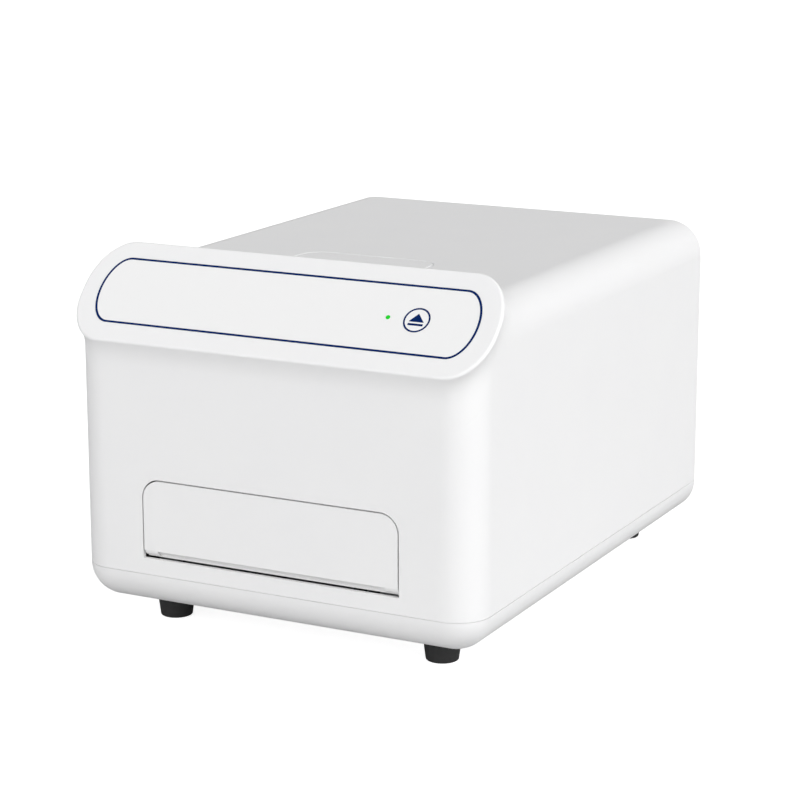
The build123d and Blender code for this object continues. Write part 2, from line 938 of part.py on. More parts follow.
def service_hatch():
    """Lift-off lid over the filters, with four tabs that locate it in its opening."""
    low = roof_height - hatch_thickness
    lid = flat(hatch_outline(0), low, hatch_thickness)
    top_edges = lid.edges().filter_by_position(Axis.Z, roof_height, roof_height)
    lid = chamfer(top_edges, seat_clearance)
    tabs = []
    for side in (-1, 1):
        face_x = side * (hatch_width / 2 - hatch_ledge_width - seat_clearance)
        tab_x = sorted((face_x, face_x - side * hatch_tab_thickness))
        for shift in (-1, 1):
            middle = behind((hatch_front + hatch_back) / 2) + shift * hatch_tab_width
            tab_y = (middle - hatch_tab_width / 4, middle + hatch_tab_width / 4)
            tabs.append(block(tab_x, tab_y, (low - hatch_tab_depth, low)))
    return lid + tabs


def panel_overlay():
    """Flexible printed overlay that fills the recess of the panel face."""
    sheet = extrude(overlay_outline(0), overlay_thickness)
    sheet -= extrude(Pos(key_across, 0) * Circle(key_radius + key_gap), overlay_thickness)
    sheet -= extrude(Pos(led_across, 0) * Circle(led_radius + key_gap), overlay_thickness)
    return overlay_face * Pos(0, 0, -overlay_thickness) * sheet


def turned(points):
    """A solid turned about Z from half of its section."""
    return revolve(make_face(Polyline(*[(x, 0, z) for x, z in points], close=True)), Axis.Z)


def eject_button():
    """Round key with a flange behind the panel and a stem over the switch."""
    back = -(wall + seat_clearance)
    flange_back = back - key_flange_thickness
    stem_back = flange_back - key_stem_length
    flange = key_radius + key_flange_width
    points = [
        (0, 0), (key_radius, 0), (key_radius, back), (flange, back),
        (flange, flange_back), (key_stem_radius, flange_back),
        (key_stem_radius, stem_back), (0, stem_back),
    ]
    return overlay_face * Pos(key_across, 0, 0) * turned(points)


def status_led():
    """Round indicator light on the keypad board, with a domed lens in the panel face."""
    start = Pos(0, 0, -keypad_board_back)
    lens = start * extrude(Circle(led_radius), keypad_board_back + led_proud)
    lens = fillet(lens.edges().group_by(Axis.Z)[-1], led_proud * led_dome_share)
    lens += start * extrude(Circle(led_radius + led_flange_width), led_flange_thickness)
    return overlay_face * Pos(led_across, 0, 0) * lens


def keypad_board():
    """Circuit board behind the panel face, on four bosses."""
    form = RectangleRounded(keypad_board_width, keypad_board_height, board_corner_radius)
    board = extrude(form, board_thickness)
    board = Pos(keypad_centre_x, 0) * board
    for x, y in keypad_places():
        board -= extrude(Pos(x, y) * Circle(m3_shank + screw_clearance), board_thickness)
    return overlay_face * Pos(0, 0, -keypad_board_back - board_thickness) * board


def key_switch():
    """Tact switch on the keypad board, under the stem of the key."""
    body = extrude(RectangleRounded(switch_side, switch_side, switch_corner_radius), switch_height)
    return overlay_face * Pos(key_across, 0, -keypad_board_back) * body


def keypad_screws():
    """Four screws that hold the keypad board on its bosses."""
    screw = pan_screw(m3_shank, m3_head, m3_head_height, keypad_screw_length)
    back = -keypad_board_back - board_thickness
    return at_each(screw, [overlay_face * Pos(x, y, back) * Rot(180, 0, 0) for x, y in keypad_places()])


def plate_door():
    """Hinged flap: a skin rolled under at its foot, ribs behind it and two end knuckles."""
    door = sideways(door_section(), -door_width / 2, door_width)
    door = door & upright(door_outline(0, 0), front_y - through, 3 * door_pivot_inset)
    for side in (-1, 1):
        ends = sorted((side * door_width / 2, side * (door_width / 2 - door_knuckle_length)))
        start, end = [(x, door_axis_y, door_axis_z) for x in ends]
        door += bar(door_pivot_inset - 1, start, end)
    door += door_ribs()
    return door - hinge_bores(door_width / 2 - hinge_pin_length / 2, press_clearance)


def door_section():
    """Side view of the door skin: upright, then rolled under about the hinge line."""
    outer_y, inner_y = front_y, front_y + door_thickness
    inner_radius = door_pivot_inset - door_thickness
    foot_z = door_bottom + door_thickness
    return make_face([
        Line((outer_y, door_top), (outer_y, door_axis_z)),
        RadiusArc((outer_y, door_axis_z), (door_axis_y, door_bottom), door_pivot_inset),
        Line((door_axis_y, door_bottom), (door_axis_y, foot_z)),
        RadiusArc((door_axis_y, foot_z), (inner_y, door_axis_z), -inner_radius),
        Line((inner_y, door_axis_z), (inner_y, door_top)),
        Line((inner_y, door_top), (outer_y, door_top)),
    ])


def door_ribs():
    """Upright stiffening ribs on the inner face of the door, and one level rib."""
    inner_y = front_y + door_thickness
    rib_y = (inner_y, inner_y + door_rib_depth)
    top = door_top - door_corner_radius
    step = (door_width - 2 * door_corner_radius) / (door_rib_count - 1)
    first = door_corner_radius - door_width / 2
    half = door_rib_thickness / 2
    ribs = [block((first + i * step - half, first + i * step + half), rib_y, (door_axis_z, top))
            for i in range(door_rib_count)]
    ribs.append(block((first, -first), rib_y, (top - door_rib_thickness, top)))
    return ribs


def hinge_bores(inner_end, clearance):
    """The two bores on the hinge line, from an inner end outwards."""
    bores = []
    for side in (-1, 1):
        start = (side * inner_end, door_axis_y, door_axis_z)
        end = (side * (inner_end + hinge_pin_length), door_axis_y, door_axis_z)
        bores.append(bar(hinge_pin_radius + clearance, start, end))
    return Part() + bores


def door_hinge_pins():
    """Two steel pins, each pressed half its length into the door."""
    inner_end = door_width / 2 - hinge_pin_length / 2
    return Compound(children=list(hinge_bores(inner_end, 0).solids()))


def door_hinge_blocks():
    """Two bearing blocks behind the front wall that carry the door pins."""
    blocks = []
    for side in (-1, 1):
        near = door_width / 2 + door_gap + seat_clearance
        start = side * near if side > 0 else -(near + hinge_block_length)
        barrel = sideways(hinge_block_section(), start, hinge_block_length)
        far = side * (near + hinge_block_length)
        flange_x = sorted((far, far + side * hinge_block_flange))
        flange_z = (door_axis_z - hinge_block_wall, door_axis_z + hinge_block_wall)
        flange = block(flange_x, (inner_front_y, inner_front_y + door_thickness), flange_z)
        ends = door_width / 2 - hinge_pin_length / 2
        blocks.append((barrel + flange - hinge_bores(ends, running_clearance)).solid())
    return Compound(children=blocks)


def hinge_block_section():
    """Side view of a bearing block: flat on the wall, round about the pin."""
    centre = Pos(door_axis_y, door_axis_z)
    low, high = door_axis_z - hinge_block_wall, door_axis_z + hinge_block_wall
    corners = [(inner_front_y, low), (door_axis_y, low), (door_axis_y, high), (inner_front_y, high)]
    flat_part = outline(corners)
    wall_line = Pos(inner_front_y + body_depth / 2, door_axis_z) * Rectangle(body_depth, body_depth)
    return (flat_part + centre * Circle(hinge_block_wall)) & wall_line


def rubber_feet():
    """Four tapered rubber feet with a recess for the screw head."""
    points = [
        (m4_shank + screw_clearance, foot_recess_depth), (foot_recess_radius, foot_recess_depth),
        (foot_recess_radius, 0), (foot_bottom_radius, 0), (foot_top_radius, foot_height),
        (m4_shank + screw_clearance, foot_height),
    ]
    foot = turned(points)
    lower = foot.edges().filter_by_position(Axis.Z, 0, 0).sort_by(SortBy.LENGTH)[-1]
    foot = fillet(lower, 1)
    return at_each(foot, [Pos(x, y, 0) for x, y in foot_places])


def foot_screws():
    """Screws that hold the feet, driven up into the base bosses."""
    screw = pan_screw(m4_shank, m4_head, m4_head_height, foot_screw_length)
    return at_each(screw, [Pos(x, y, foot_recess_depth) * Rot(180, 0, 0) for x, y in foot_places])


def base_screws():
    """Long screws that hold the base to the columns of the upper housing."""
    screw = pan_screw(m3_shank, m3_head, m3_head_height, base_screw_length)
    return at_each(screw, [Pos(x, y, screw_seat_z()) * Rot(180, 0, 0) for x, y in column_places])


def rear_panel_screws():
    """Pan-head screws round the rear panel, and the longer four that hold the fan."""
    outwards = Rot(-90, 0, 0)
    short = pan_screw(m3_shank, m3_head, m3_head_height, rear_panel_thickness + rear_seat_thickness)
    long = pan_screw(m3_shank, m3_head, m3_head_height, rear_panel_thickness + fan_depth / 2)
    screws = [Pos(x, rear_panel_back_y, z) * outwards * short for x, z in rear_screw_places()]
    corners = GridLocations(fan_hole_pitch, fan_hole_pitch, 2, 2)
    for corner in corners:
        x, z = corner.position.X, fan_height + corner.position.Y
        screws.append(Pos(x, rear_panel_back_y, z) * outwards * long)
    return Compound(children=[screw.solid() for screw in screws])


# ---------------------------------------------------------------------------
# Chassis and optics deck
# ---------------------------------------------------------------------------

def chassis_plate():
    """Sheet-steel channel that stands on the base bosses and carries the mechanism."""
    half = chassis_width / 2
    inner = half - chassis_thickness
    top = chassis_height + chassis_flange
    points = [
        (-half, top), (-half, chassis_height), (half, chassis_height), (half, top),
        (inner, top), (inner, chassis_top), (-inner, chassis_top), (-inner, top),
    ]
    bend = chassis_bend_radius
    outer_bend = bend + chassis_thickness
    channel = outline(points, {1: outer_bend, 2: outer_bend, 5: bend, 6: bend})
    plate = upright(channel, behind(chassis_front), chassis_back - chassis_front)
    plate -= stud_holes(chassis_height)
    for place in (read_line - chassis_window_length, read_line + chassis_window_length):
        window = RectangleRounded(chassis_window_width, chassis_window_length, 2 * bend)
        plate -= flat(Pos(0, behind(place)) * window, chassis_height, chassis_flange)
    return plate


def stud_holes(low):
    """Clearance holes for the studs and screws of the deck posts."""
    radius = m4_shank + screw_clearance
    depth = 2 * chassis_thickness + deck_thickness
    return Part() + [bar(radius, (x, y, low - depth), (x, y, low + depth)) for x, y in post_positions]


def deck_posts():
    """Turned posts between the chassis and the optics deck, with a stud at the foot."""
    stud_end = chassis_height - post_stud_length
    hole_end = deck_height - deck_screw_length
    hole_radius = m4_shank + press_clearance
    points = [
        (0, stud_end), (m4_shank, stud_end), (m4_shank, chassis_top), (post_radius, chassis_top),
        (post_radius, deck_height), (hole_radius, deck_height), (hole_radius, hole_end), (0, hole_end),
    ]
    return at_each(turned(points), [Pos(x, y, 0) for x, y in post_positions])


def deck_screws():
    """Screws that hold the optics deck on its posts."""
    length = deck_thickness + deck_screw_length - deck_screw_tip_gap
    screw = pan_screw(m4_shank, m4_head, m4_head_height, length)
    return at_each(screw, [Pos(x, y, deck_top) for x, y in post_positions])


def optics_deck():
    """Plate over the plate transport that carries the optics and the main board."""
    length = deck_back - deck_front
    middle = Pos(0, behind((deck_front + deck_back) / 2))
    deck = middle * RectangleRounded(deck_width, length, deck_corner_radius)
    slot_width = manifold_width - 2 * manifold_slot_margin - 2 * manifold_edge
    slot_depth = 2 * barrel_radius + 2 * manifold_slot_margin
    deck -= Pos(0, read_y) * RectangleRounded(slot_width, slot_depth, manifold_slot_margin)
    return flat(deck, deck_height, deck_thickness) - stud_holes(deck_height)


# ---------------------------------------------------------------------------
# Plate transport
# ---------------------------------------------------------------------------

def guide_rods():
    """Two ground rods on which the plate carrier slides."""
    rod = bar(rod_radius, (0, rod_front_y, rod_z), (0, rod_back_y, rod_z))
    return at_each(rod, [Pos(side * rod_across, 0, 0) for side in (-1, 1)])


def rod_support_section():
    """Front view of a rod support: a splayed foot under a round head."""
    head = rod_radius + rod_support_wall
    foot = rod_support_foot_width / 2
    foot_top = chassis_top + rod_support_foot_height
    points = [
        (-foot, chassis_top), (foot, chassis_top), (foot, foot_top), (head, foot_top + foot - head),
        (head, rod_z), (-head, rod_z), (-head, foot_top + foot - head), (-foot, foot_top),
    ]
    body = outline(points) + Pos(0, rod_z) * Circle(head)
    return body - Pos(0, rod_z) * Circle(rod_radius + press_clearance)


def rod_supports():
    """Four uprights that hold the ends of the guide rods."""
    supports = []
    for y in (rod_front_y, rod_back_y - rod_support_length):
        support = upright(rod_support_section(), y, rod_support_length)
        supports += [Pos(side * rod_across, 0, 0) * support for side in (-1, 1)]
    return Compound(children=[support.solid() for support in supports])


def carrier_outline():
    """Plan of the plate carrier: the plate frame, its neck and the wide tail."""
    frame = carrier_width / 2
    tail = tail_width / 2
    points = [
        (-frame, carrier_front_y), (frame, carrier_front_y), (frame, tail_front_y),
        (tail, tail_front_y), (tail, tail_back_y), (-tail, tail_back_y),
        (-tail, tail_front_y), (-frame, tail_front_y),
    ]
    return outline(points, {0: carrier_corner_radius, 1: carrier_corner_radius})


def plate_carrier():
    """Moulded tray: a sunk nest for one plate over an open window, and a tail on the rods."""
    boss_radius = rod_radius + running_clearance + bushing_wall + bushing_boss_wall
    carrier = flat(carrier_outline(), carrier_bottom, carrier_thickness)
    for x in (-rod_across, rod_across):
        carrier += bar(boss_radius, (x, tail_front_y, rod_z), (x, tail_back_y, rod_z))
    for x in (-rod_across, rod_across):
        bore = boss_radius - bushing_boss_wall + press_clearance
        carrier -= bar(bore, (x, tail_front_y, rod_z), (x, tail_back_y, rod_z))
    carrier -= carrier_nest()
    rim = carrier.edges().filter_by_position(Axis.Z, carrier_top, carrier_top)
    front_rim = rim.filter_by_position(Axis.Y, carrier_front_y, carrier_front_y)
    return chamfer(front_rim, carrier_floor / 2)


def carrier_nest():
    """The plate nest, its corner reliefs, its light window and the finger notches."""
    centre = Pos(0, nest_centre_y)
    nest_width = plate_length + 2 * plate_clearance
    nest_depth = plate_width + 2 * plate_clearance
    nest = RectangleRounded(nest_width, nest_depth, nest_corner_radius)
    reliefs = spread(GridLocations(plate_length, plate_width, 2, 2), Circle(carrier_floor / 2))
    sunk = flat(centre * (nest + reliefs), nest_floor_z, carrier_thickness)
    window_width = plate_length - 2 * carrier_window_margin
    window_depth = plate_width - 2 * carrier_window_margin
    window = RectangleRounded(window_width, window_depth, carrier_floor)
    opened = flat(centre * window, carrier_bottom - through, carrier_thickness)
    notch_places = GridLocations(plate_length, 0, 2, 1)
    notch = SlotOverall(2 * finger_notch_radius + carrier_floor, finger_notch_radius, rotation=90)
    notches = spread(notch_places, notch)
    notch_cut = flat(centre * notches, nest_floor_z, carrier_thickness)
    return sunk + opened + notch_cut


def carrier_bushings():
    """Four plain bushings pressed into the tail of the carrier."""
    inner = rod_radius + running_clearance
    outer = inner + bushing_wall
    last = tail_back_y - bushing_length
    starts = [(x, y) for x in (-rod_across, rod_across) for y in (tail_front_y, last)]
    bushings = [tube(outer, inner, (x, y, rod_z), (x, y + bushing_length, rod_z)) for x, y in starts]
    return Compound(children=[bushing.solid() for bushing in bushings])


def belt_slot(radius):
    """Side view of the belt path at a distance from the pulley centres."""
    length = drive_y - idler_y
    middle = (drive_y + idler_y) / 2
    return Pos(middle, belt_height) * SlotOverall(length + 2 * radius, 2 * radius)


def timing_belt():
    """Closed belt between the idler and the drive pulley."""
    loop = belt_slot(belt_outer_radius) - belt_slot(belt_inner_radius)
    return sideways(loop, belt_across - belt_width / 2, belt_width)


def belt_clamp():
    """Clamp under the tail of the carrier that grips the upper run of the belt."""
    top_run = belt_height + belt_outer_radius
    low_run = belt_height + belt_inner_radius
    bottom = low_run - clamp_gap - clamp_jaw
    x_limits = (belt_across - clamp_width / 2, belt_across + clamp_width / 2)
    y_limits = (behind(clamp_place), behind(clamp_place + clamp_length))
    body = block(x_limits, y_limits, (bottom, carrier_bottom))
    lower = body.edges().filter_by_position(Axis.Z, bottom, bottom).filter_by(Axis.Y)
    body = chamfer(lower, clamp_jaw / 2)
    half_slot = belt_width / 2 + clamp_gap
    slot_x = (belt_across - half_slot, belt_across + half_slot)
    return body - block(slot_x, y_limits, (low_run - clamp_gap, top_run + clamp_gap))


def toothed_disc(thickness):
    """Pulley ring with trapezoid tooth gaps cut round its edge."""
    disc = Circle(pulley_tip_radius)
    gap = Trapezoid(tooth_gap_width, 2 * tooth_depth, tooth_flank_angle, rotation=90)
    gaps = spread(PolarLocations(pulley_tip_radius, pulley_teeth), gap)
    return extrude(disc - gaps, thickness)


def pulley(bore_radius, hub_length):
    """Flanged timing pulley along +X from the origin, hub first."""
    tooth_length = belt_width + 2 * pulley_side_gap
    hub = extrude(Circle(pulley_hub_radius), hub_length)
    flange = extrude(Circle(pulley_flange_radius), pulley_flange_thickness)
    wheel = hub + Pos(0, 0, hub_length) * flange
    wheel += Pos(0, 0, hub_length + pulley_flange_thickness) * toothed_disc(tooth_length)
    wheel += Pos(0, 0, hub_length + pulley_flange_thickness + tooth_length) * flange
    total = hub_length + 2 * pulley_flange_thickness + tooth_length
    return Rot(0, 90, 0) * (wheel - extrude(Circle(bore_radius), total))


def pulley_start_x(hub_length):
    """X at which a pulley starts so that its teeth run under the belt."""
    return belt_across - belt_width / 2 - pulley_side_gap - pulley_flange_thickness - hub_length


def motor_face_x():
    """X of the front face of the tray motor's bracket."""
    return pulley_start_x(pulley_hub_length) - motor_boss_height


def drive_pulley():
    """Toothed pulley on the shaft of the tray motor."""
    place = Pos(pulley_start_x(pulley_hub_length), drive_y, belt_height)
    return place * pulley(shaft_radius + press_clearance, pulley_hub_length)


def drive_shaft():
    """Shaft that carries the drive pulley and turns in the tray motor."""
    start = (motor_face_x() - bracket_thickness - motor_bore_depth, drive_y, belt_height)
    end_x = belt_across + belt_width / 2 + pulley_side_gap + pulley_flange_thickness
    return bar(shaft_radius, start, (end_x, drive_y, belt_height))


def idler_pulley():
    """Toothed pulley that turns on a fixed pin at the front end of the belt."""
    place = Pos(pulley_start_x(idler_hub_length), idler_y, belt_height)
    return place * pulley(shaft_radius + running_clearance, idler_hub_length)


def idler_face_x():
    """X of the face of the idler bracket, just clear of the idler's hub."""
    return pulley_start_x(idler_hub_length) - running_clearance


def idler_pin():
    """Pin pressed into the idler bracket."""
    start = (idler_face_x() - bracket_thickness, idler_y, belt_height)
    end_x = belt_across + belt_width / 2 + pulley_side_gap + pulley_flange_thickness
    return bar(shaft_radius, start, (end_x, idler_y, belt_height))


def angle_bracket(y_limits, top, face_x, foot_length):
    """Bent sheet bracket: an upright plate that ends at face_x, and a foot to its left."""
    outer_x = face_x
    inner_x = face_x - bracket_thickness
    foot_x = outer_x - foot_length
    foot_top = chassis_top + bracket_thickness
    points = [
        (foot_x, chassis_top), (outer_x, chassis_top), (outer_x, top),
        (inner_x, top), (inner_x, foot_top), (foot_x, foot_top),
    ]
    bends = {1: bracket_bend_radius + bracket_thickness, 4: bracket_bend_radius}
    plate = upright(outline(points, bends), y_limits[0], y_limits[1] - y_limits[0])
    tops = plate.edges().filter_by(Axis.X).filter_by_position(Axis.Z, top, top)
    return fillet(tops, 2 * bracket_thickness)


def idler_bracket():
    """Angle bracket on the chassis that holds the idler pin."""
    y = idler_y
    half = pulley_flange_radius
    face_x = idler_face_x()
    bracket = angle_bracket((y - half, y + half), belt_height + half, face_x, bracket_foot_length)
    start = (face_x - 2 * bracket_thickness, y, belt_height)
    return bracket - bar(shaft_radius + press_clearance, start, (face_x + through, y, belt_height))


def tray_motor_bracket():
    """Angle bracket on the chassis that holds the tray motor."""
    y = drive_y
    half = motor_side / 2
    face_x = motor_face_x()
    bracket = angle_bracket((y - half, y + half), belt_height + half, face_x, bracket_foot_length)
    start = (face_x - 2 * bracket_thickness, y, belt_height)
    end = (face_x + through, y, belt_height)
    return bracket - bar(motor_boss_radius + seat_clearance, start, end)


def stepper_motor(side, length, edge, boss_radius, boss_height, bore_depth):
    """Square stepper motor along +Z: end caps, a slimmer laminated stack, and its boss."""
    body = extrude(chamfer(Rectangle(side, side).vertices(), edge), -length)
    body += extrude(Circle(boss_radius), boss_height)
    stack_radius = math.hypot(side / 2, side / 2 - 2 * edge)
    stack_cut = extrude(Rectangle(side, side) - Circle(stack_radius), 2 * motor_cap_length - length)
    body -= Pos(0, 0, -motor_cap_length) * stack_cut
    bore = extrude(Circle(shaft_radius + running_clearance), bore_depth + boss_height)
    return body - Pos(0, 0, -bore_depth) * bore


def tray_motor():
    """Stepper motor that drives the belt."""
    motor = stepper_motor(motor_side, motor_length, motor_chamfer,
                          motor_boss_radius, motor_boss_height, motor_bore_depth)
    face_x = motor_face_x() - bracket_thickness
    return Pos(face_x, drive_y, belt_height) * Rot(0, 90, 0) * motor


# ---------------------------------------------------------------------------
# Read head and detector
# ---------------------------------------------------------------------------

def channel_xs():
    """X of every optical channel."""
    first = -(channel_count - 1) / 2 * channel_pitch
    return [first + i * channel_pitch for i in range(channel_count)]


def lens_manifold():
    """Block on the deck that spreads the light guide to the row of lens barrels."""
    half_width_x = manifold_width / 2
    top = deck_top + manifold_height
    body = block((-half_width_x, half_width_x),
                 (read_y - manifold_depth / 2, read_y + manifold_depth / 2), (deck_top, top))
    body = chamfer(body.edges().filter_by_position(Axis.Z, top, top), manifold_edge)
    body += tube(guide_gland_radius, light_guide_radius + press_clearance,
                 (optic_x, read_y, top), (optic_x, read_y, top + guide_gland_height))
    socket_top = barrel_bottom + barrel_length
    bore = barrel_radius + press_clearance
    for x in channel_xs():
        body -= bar(bore, (x, read_y, deck_top - through), (x, read_y, socket_top))
    return body


def lens_barrels():
    """Row of lens barrels that look down on the plate."""
    top = barrel_bottom + barrel_length
    mouth_top = barrel_bottom + barrel_mouth_depth
    points = [
        (0, mouth_top), (barrel_mouth_radius, mouth_top), (barrel_mouth_radius, barrel_bottom),
        (barrel_radius, barrel_bottom), (barrel_radius, top), (0, top),
    ]
    return at_each(turned(points), [Pos(x, read_y, 0) for x in channel_xs()])


def detector_board():
    """Circuit board under the carrier that holds the photodiodes."""
    board = Pos(0, read_y) * RectangleRounded(detector_board_width, detector_board_depth, board_corner_radius)
    return flat(board, detector_board_height, board_thickness)


def photodiodes():
    """Row of metal-can photodiodes, one under each lens barrel."""
    low = detector_board_height + board_thickness
    top = low + diode_height
    sunk = top - diode_window_depth
    points = [
        (0, low), (diode_radius, low), (diode_radius, top),
        (diode_window_radius, top), (diode_window_radius, sunk), (0, sunk),
    ]
    return at_each(turned(points), [Pos(x, read_y, 0) for x in channel_xs()])


def detector_bracket():
    """Two bent sheet legs that carry the detector board from the chassis."""
    foot = bracket_foot_length
    thick = bracket_thickness
    board_z = detector_board_height
    points = [
        (0, chassis_top), (foot, chassis_top), (foot, chassis_top + thick), (thick, chassis_top + thick),
        (thick, board_z - thick), (foot, board_z - thick), (foot, board_z), (0, board_z),
    ]
    inner_bend = bracket_bend_radius
    outer_bend = inner_bend + thick
    bends = {0: outer_bend, 3: inner_bend, 4: inner_bend, 7: outer_bend}
    leg = upright(outline(points, bends), read_y - detector_bracket_width / 2, detector_bracket_width)
    right = Pos(detector_bracket_across, 0, 0) * leg
    left = mirror(right, about=Plane.YZ)
    return Compound(children=[right.solid(), left.solid()])


# ---------------------------------------------------------------------------
# Filter wheel, lamp and light guide
# ---------------------------------------------------------------------------

def filter_centres():
    """X and Z of the filters, from the wheel's axis, with one filter in the light path."""
    step = 2 * math.pi / filter_count
    return [(filter_circle_radius * math.cos(i * step), filter_circle_radius * math.sin(i * step))
            for i in range(filter_count)]


def filter_wheel():
    """Wheel with stepped filter seats, a notched rim and a hub."""
    profile = Circle(wheel_radius)
    notches = PolarLocations(wheel_radius, filter_count, start_angle=180 / filter_count)
    profile -= spread(notches, Circle(wheel_rim_notch))
    wheel = extrude(profile, wheel_thickness) + extrude(Circle(wheel_hub_radius), wheel_hub_length)
    seat = Circle(filter_radius + press_clearance)
    window = Circle(filter_radius - filter_seat_width)
    ring = PolarLocations(filter_circle_radius, filter_count)
    wheel -= extrude(spread(ring, window), wheel_thickness)
    wheel -= Pos(0, 0, wheel_thickness - filter_thickness) * extrude(spread(ring, seat), filter_thickness)
    wheel -= extrude(Circle(shaft_radius + press_clearance), wheel_hub_length)
    return Pos(0, wheel_y, optic_height) * Rot(-90, 0, 0) * wheel


def optical_filters():
    """Coated glass filters that sit in the seats of the wheel."""
    start = wheel_back_y - filter_thickness
    discs = [bar(filter_radius, (x, start, optic_height + z), (x, wheel_back_y, optic_height + z))
             for x, z in filter_centres()]
    return Compound(children=[disc.solid() for disc in discs])


def filter_bracket_y():
    """Y of the back face of the filter motor's bracket."""
    return wheel_y - filter_bracket_gap


def wheel_shaft():
    """Shaft of the filter wheel, which turns in the filter motor."""
    start_y = filter_bracket_y() - bracket_thickness - filter_motor_length / 2
    end_y = wheel_y + wheel_hub_length
    return bar(shaft_radius, (0, start_y, optic_height), (0, end_y, optic_height))


def filter_motor():
    """Small stepper motor in front of the filter wheel."""
    motor = stepper_motor(filter_motor_side, filter_motor_length, filter_motor_chamfer,
                          wheel_hub_radius, bracket_thickness / 2, filter_motor_length / 2)
    face_y = filter_bracket_y() - bracket_thickness
    return Pos(0, face_y, optic_height) * Rot(-90, 0, 0) * motor


def filter_motor_bracket():
    """Bent sheet bracket on the deck that holds the filter motor."""
    back = filter_bracket_y()
    front = back - bracket_thickness
    foot = back - bracket_foot_length
    top = optic_height + filter_motor_side / 2
    foot_top = deck_top + bracket_thickness
    points = [
        (foot, deck_top), (back, deck_top), (back, top), (front, top), (front, foot_top), (foot, foot_top),
    ]
    bends = {1: bracket_bend_radius + bracket_thickness, 4: bracket_bend_radius}
    half = filter_motor_side / 2
    plate = sideways(outline(points, bends), -half, filter_motor_side)
    hole_end = (0, back + through, optic_height)
    return plate - bar(wheel_hub_radius + seat_clearance, (0, foot, optic_height), hole_end)


def lamp_housing():
    """Cast lamp housing with cooling fins, a bore for the lamp and a pedestal."""
    start_y = behind(lamp_housing_front)
    end_y = start_y + lamp_housing_length
    half = lamp_housing_width / 2
    low = optic_height - lamp_housing_height / 2
    high = optic_height + lamp_housing_height / 2
    profile = RectangleRounded(lamp_housing_width, lamp_housing_height, lamp_fin_depth)
    body = upright(Pos(optic_x, optic_height) * profile, start_y, lamp_housing_length)
    pitch = lamp_housing_length / (2 * lamp_fin_count + 1)
    for i in range(lamp_fin_count):
        groove_y = (start_y + (2 * i + 1) * pitch, start_y + (2 * i + 2) * pitch)
        around = block((optic_x - half, optic_x + half), groove_y, (low, high))
        inner_x = (optic_x - half + lamp_fin_depth, optic_x + half - lamp_fin_depth)
        core = block(inner_x, groove_y, (low + lamp_fin_depth, high - lamp_fin_depth))
        body -= around - core
    post_half = lamp_pedestal_width / 2
    foot_y = (start_y + pitch, end_y - pitch)
    foot_z = (deck_top, low + lamp_fin_depth)
    body += block((optic_x - post_half, optic_x + post_half), foot_y, foot_z)
    bore_start = (optic_x, start_y + wall, optic_height)
    return body - bar(lamp_bore_radius, bore_start, (optic_x, end_y, optic_height))


def lamp():
    """Halogen capsule lamp: a glass bulb on a ceramic base at the end of the bore."""
    start_y = behind(lamp_housing_front) + wall
    half = lamp_base_width / 2
    base = block((optic_x - half, optic_x + half), (start_y, start_y + lamp_base_length),
                 (optic_height - half, optic_height + half))
    base = fillet(base.edges().filter_by(Axis.Y), lamp_base_edge)
    neck_y = start_y + lamp_base_length
    tip_y = neck_y + lamp_length - lamp_radius
    bulb = bar(lamp_radius, (optic_x, neck_y, optic_height), (optic_x, tip_y, optic_height))
    return base + bulb + Pos(optic_x, tip_y, optic_height) * Sphere(lamp_radius)


def lens_tube():
    """Tube at the mouth of the lamp bore that holds the condenser lens."""
    end_y = behind(lamp_housing_front) + lamp_housing_length
    start_y = end_y - lens_thickness
    stop_y = end_y + lens_thickness
    outer = lamp_bore_radius - press_clearance
    body = tube(outer, lens_radius + press_clearance, (optic_x, start_y, optic_height),
                (optic_x, stop_y, optic_height))
    inner_lip = lens_radius - filter_seat_width
    return body + tube(outer, inner_lip, (optic_x, start_y, optic_height),
                       (optic_x, start_y + filter_seat_width, optic_height))


def condenser_lens():
    """Glass lens, flat towards the lamp and domed towards the filter."""
    start_y = behind(lamp_housing_front) + lamp_housing_length - lens_thickness + filter_seat_width
    curve_radius = (lens_radius ** 2 + lens_dome_height ** 2) / (2 * lens_dome_height)
    ball = Pos(0, 0, lens_thickness - curve_radius) * Sphere(curve_radius)
    lens = extrude(Circle(lens_radius), lens_thickness) & ball
    return Pos(optic_x, start_y, optic_height) * Rot(-90, 0, 0) * lens


def ferrule_start_y():
    """Y at which the light guide's ferrule starts, close behind the wheel."""
    return wheel_back_y + filter_bracket_gap


def guide_ferrule():
    """Metal ferrule that holds the end of the light guide in its bracket."""
    start = ferrule_start_y()
    collar_start = start + guide_bracket_thickness + seat_clearance + 1
    end = start + ferrule_length
    collar_end = collar_start + ferrule_collar_length
    body = bar(ferrule_radius, (optic_x, start, optic_height), (optic_x, end, optic_height))
    return body + bar(ferrule_collar_radius, (optic_x, collar_start, optic_height),
                      (optic_x, collar_end, optic_height))


def guide_bracket():
    """Bent sheet bracket on the deck that holds the ferrule in the light path."""
    front = ferrule_start_y() + 1
    back = front + guide_bracket_thickness
    half = guide_bracket_width / 2
    top = optic_height + half
    foot_y = front + bracket_foot_length
    points = [
        (front, deck_top), (foot_y, deck_top), (foot_y, deck_top + guide_bracket_thickness),
        (back, deck_top + guide_bracket_thickness), (back, top), (front, top),
    ]
    bends = {0: bracket_bend_radius + guide_bracket_thickness, 3: bracket_bend_radius}
    plate = sideways(outline(points, bends), optic_x - half, guide_bracket_width)
    hole = bar(ferrule_radius + press_clearance, (optic_x, front - through, optic_height),
               (optic_x, back + through, optic_height))
    return plate - hole


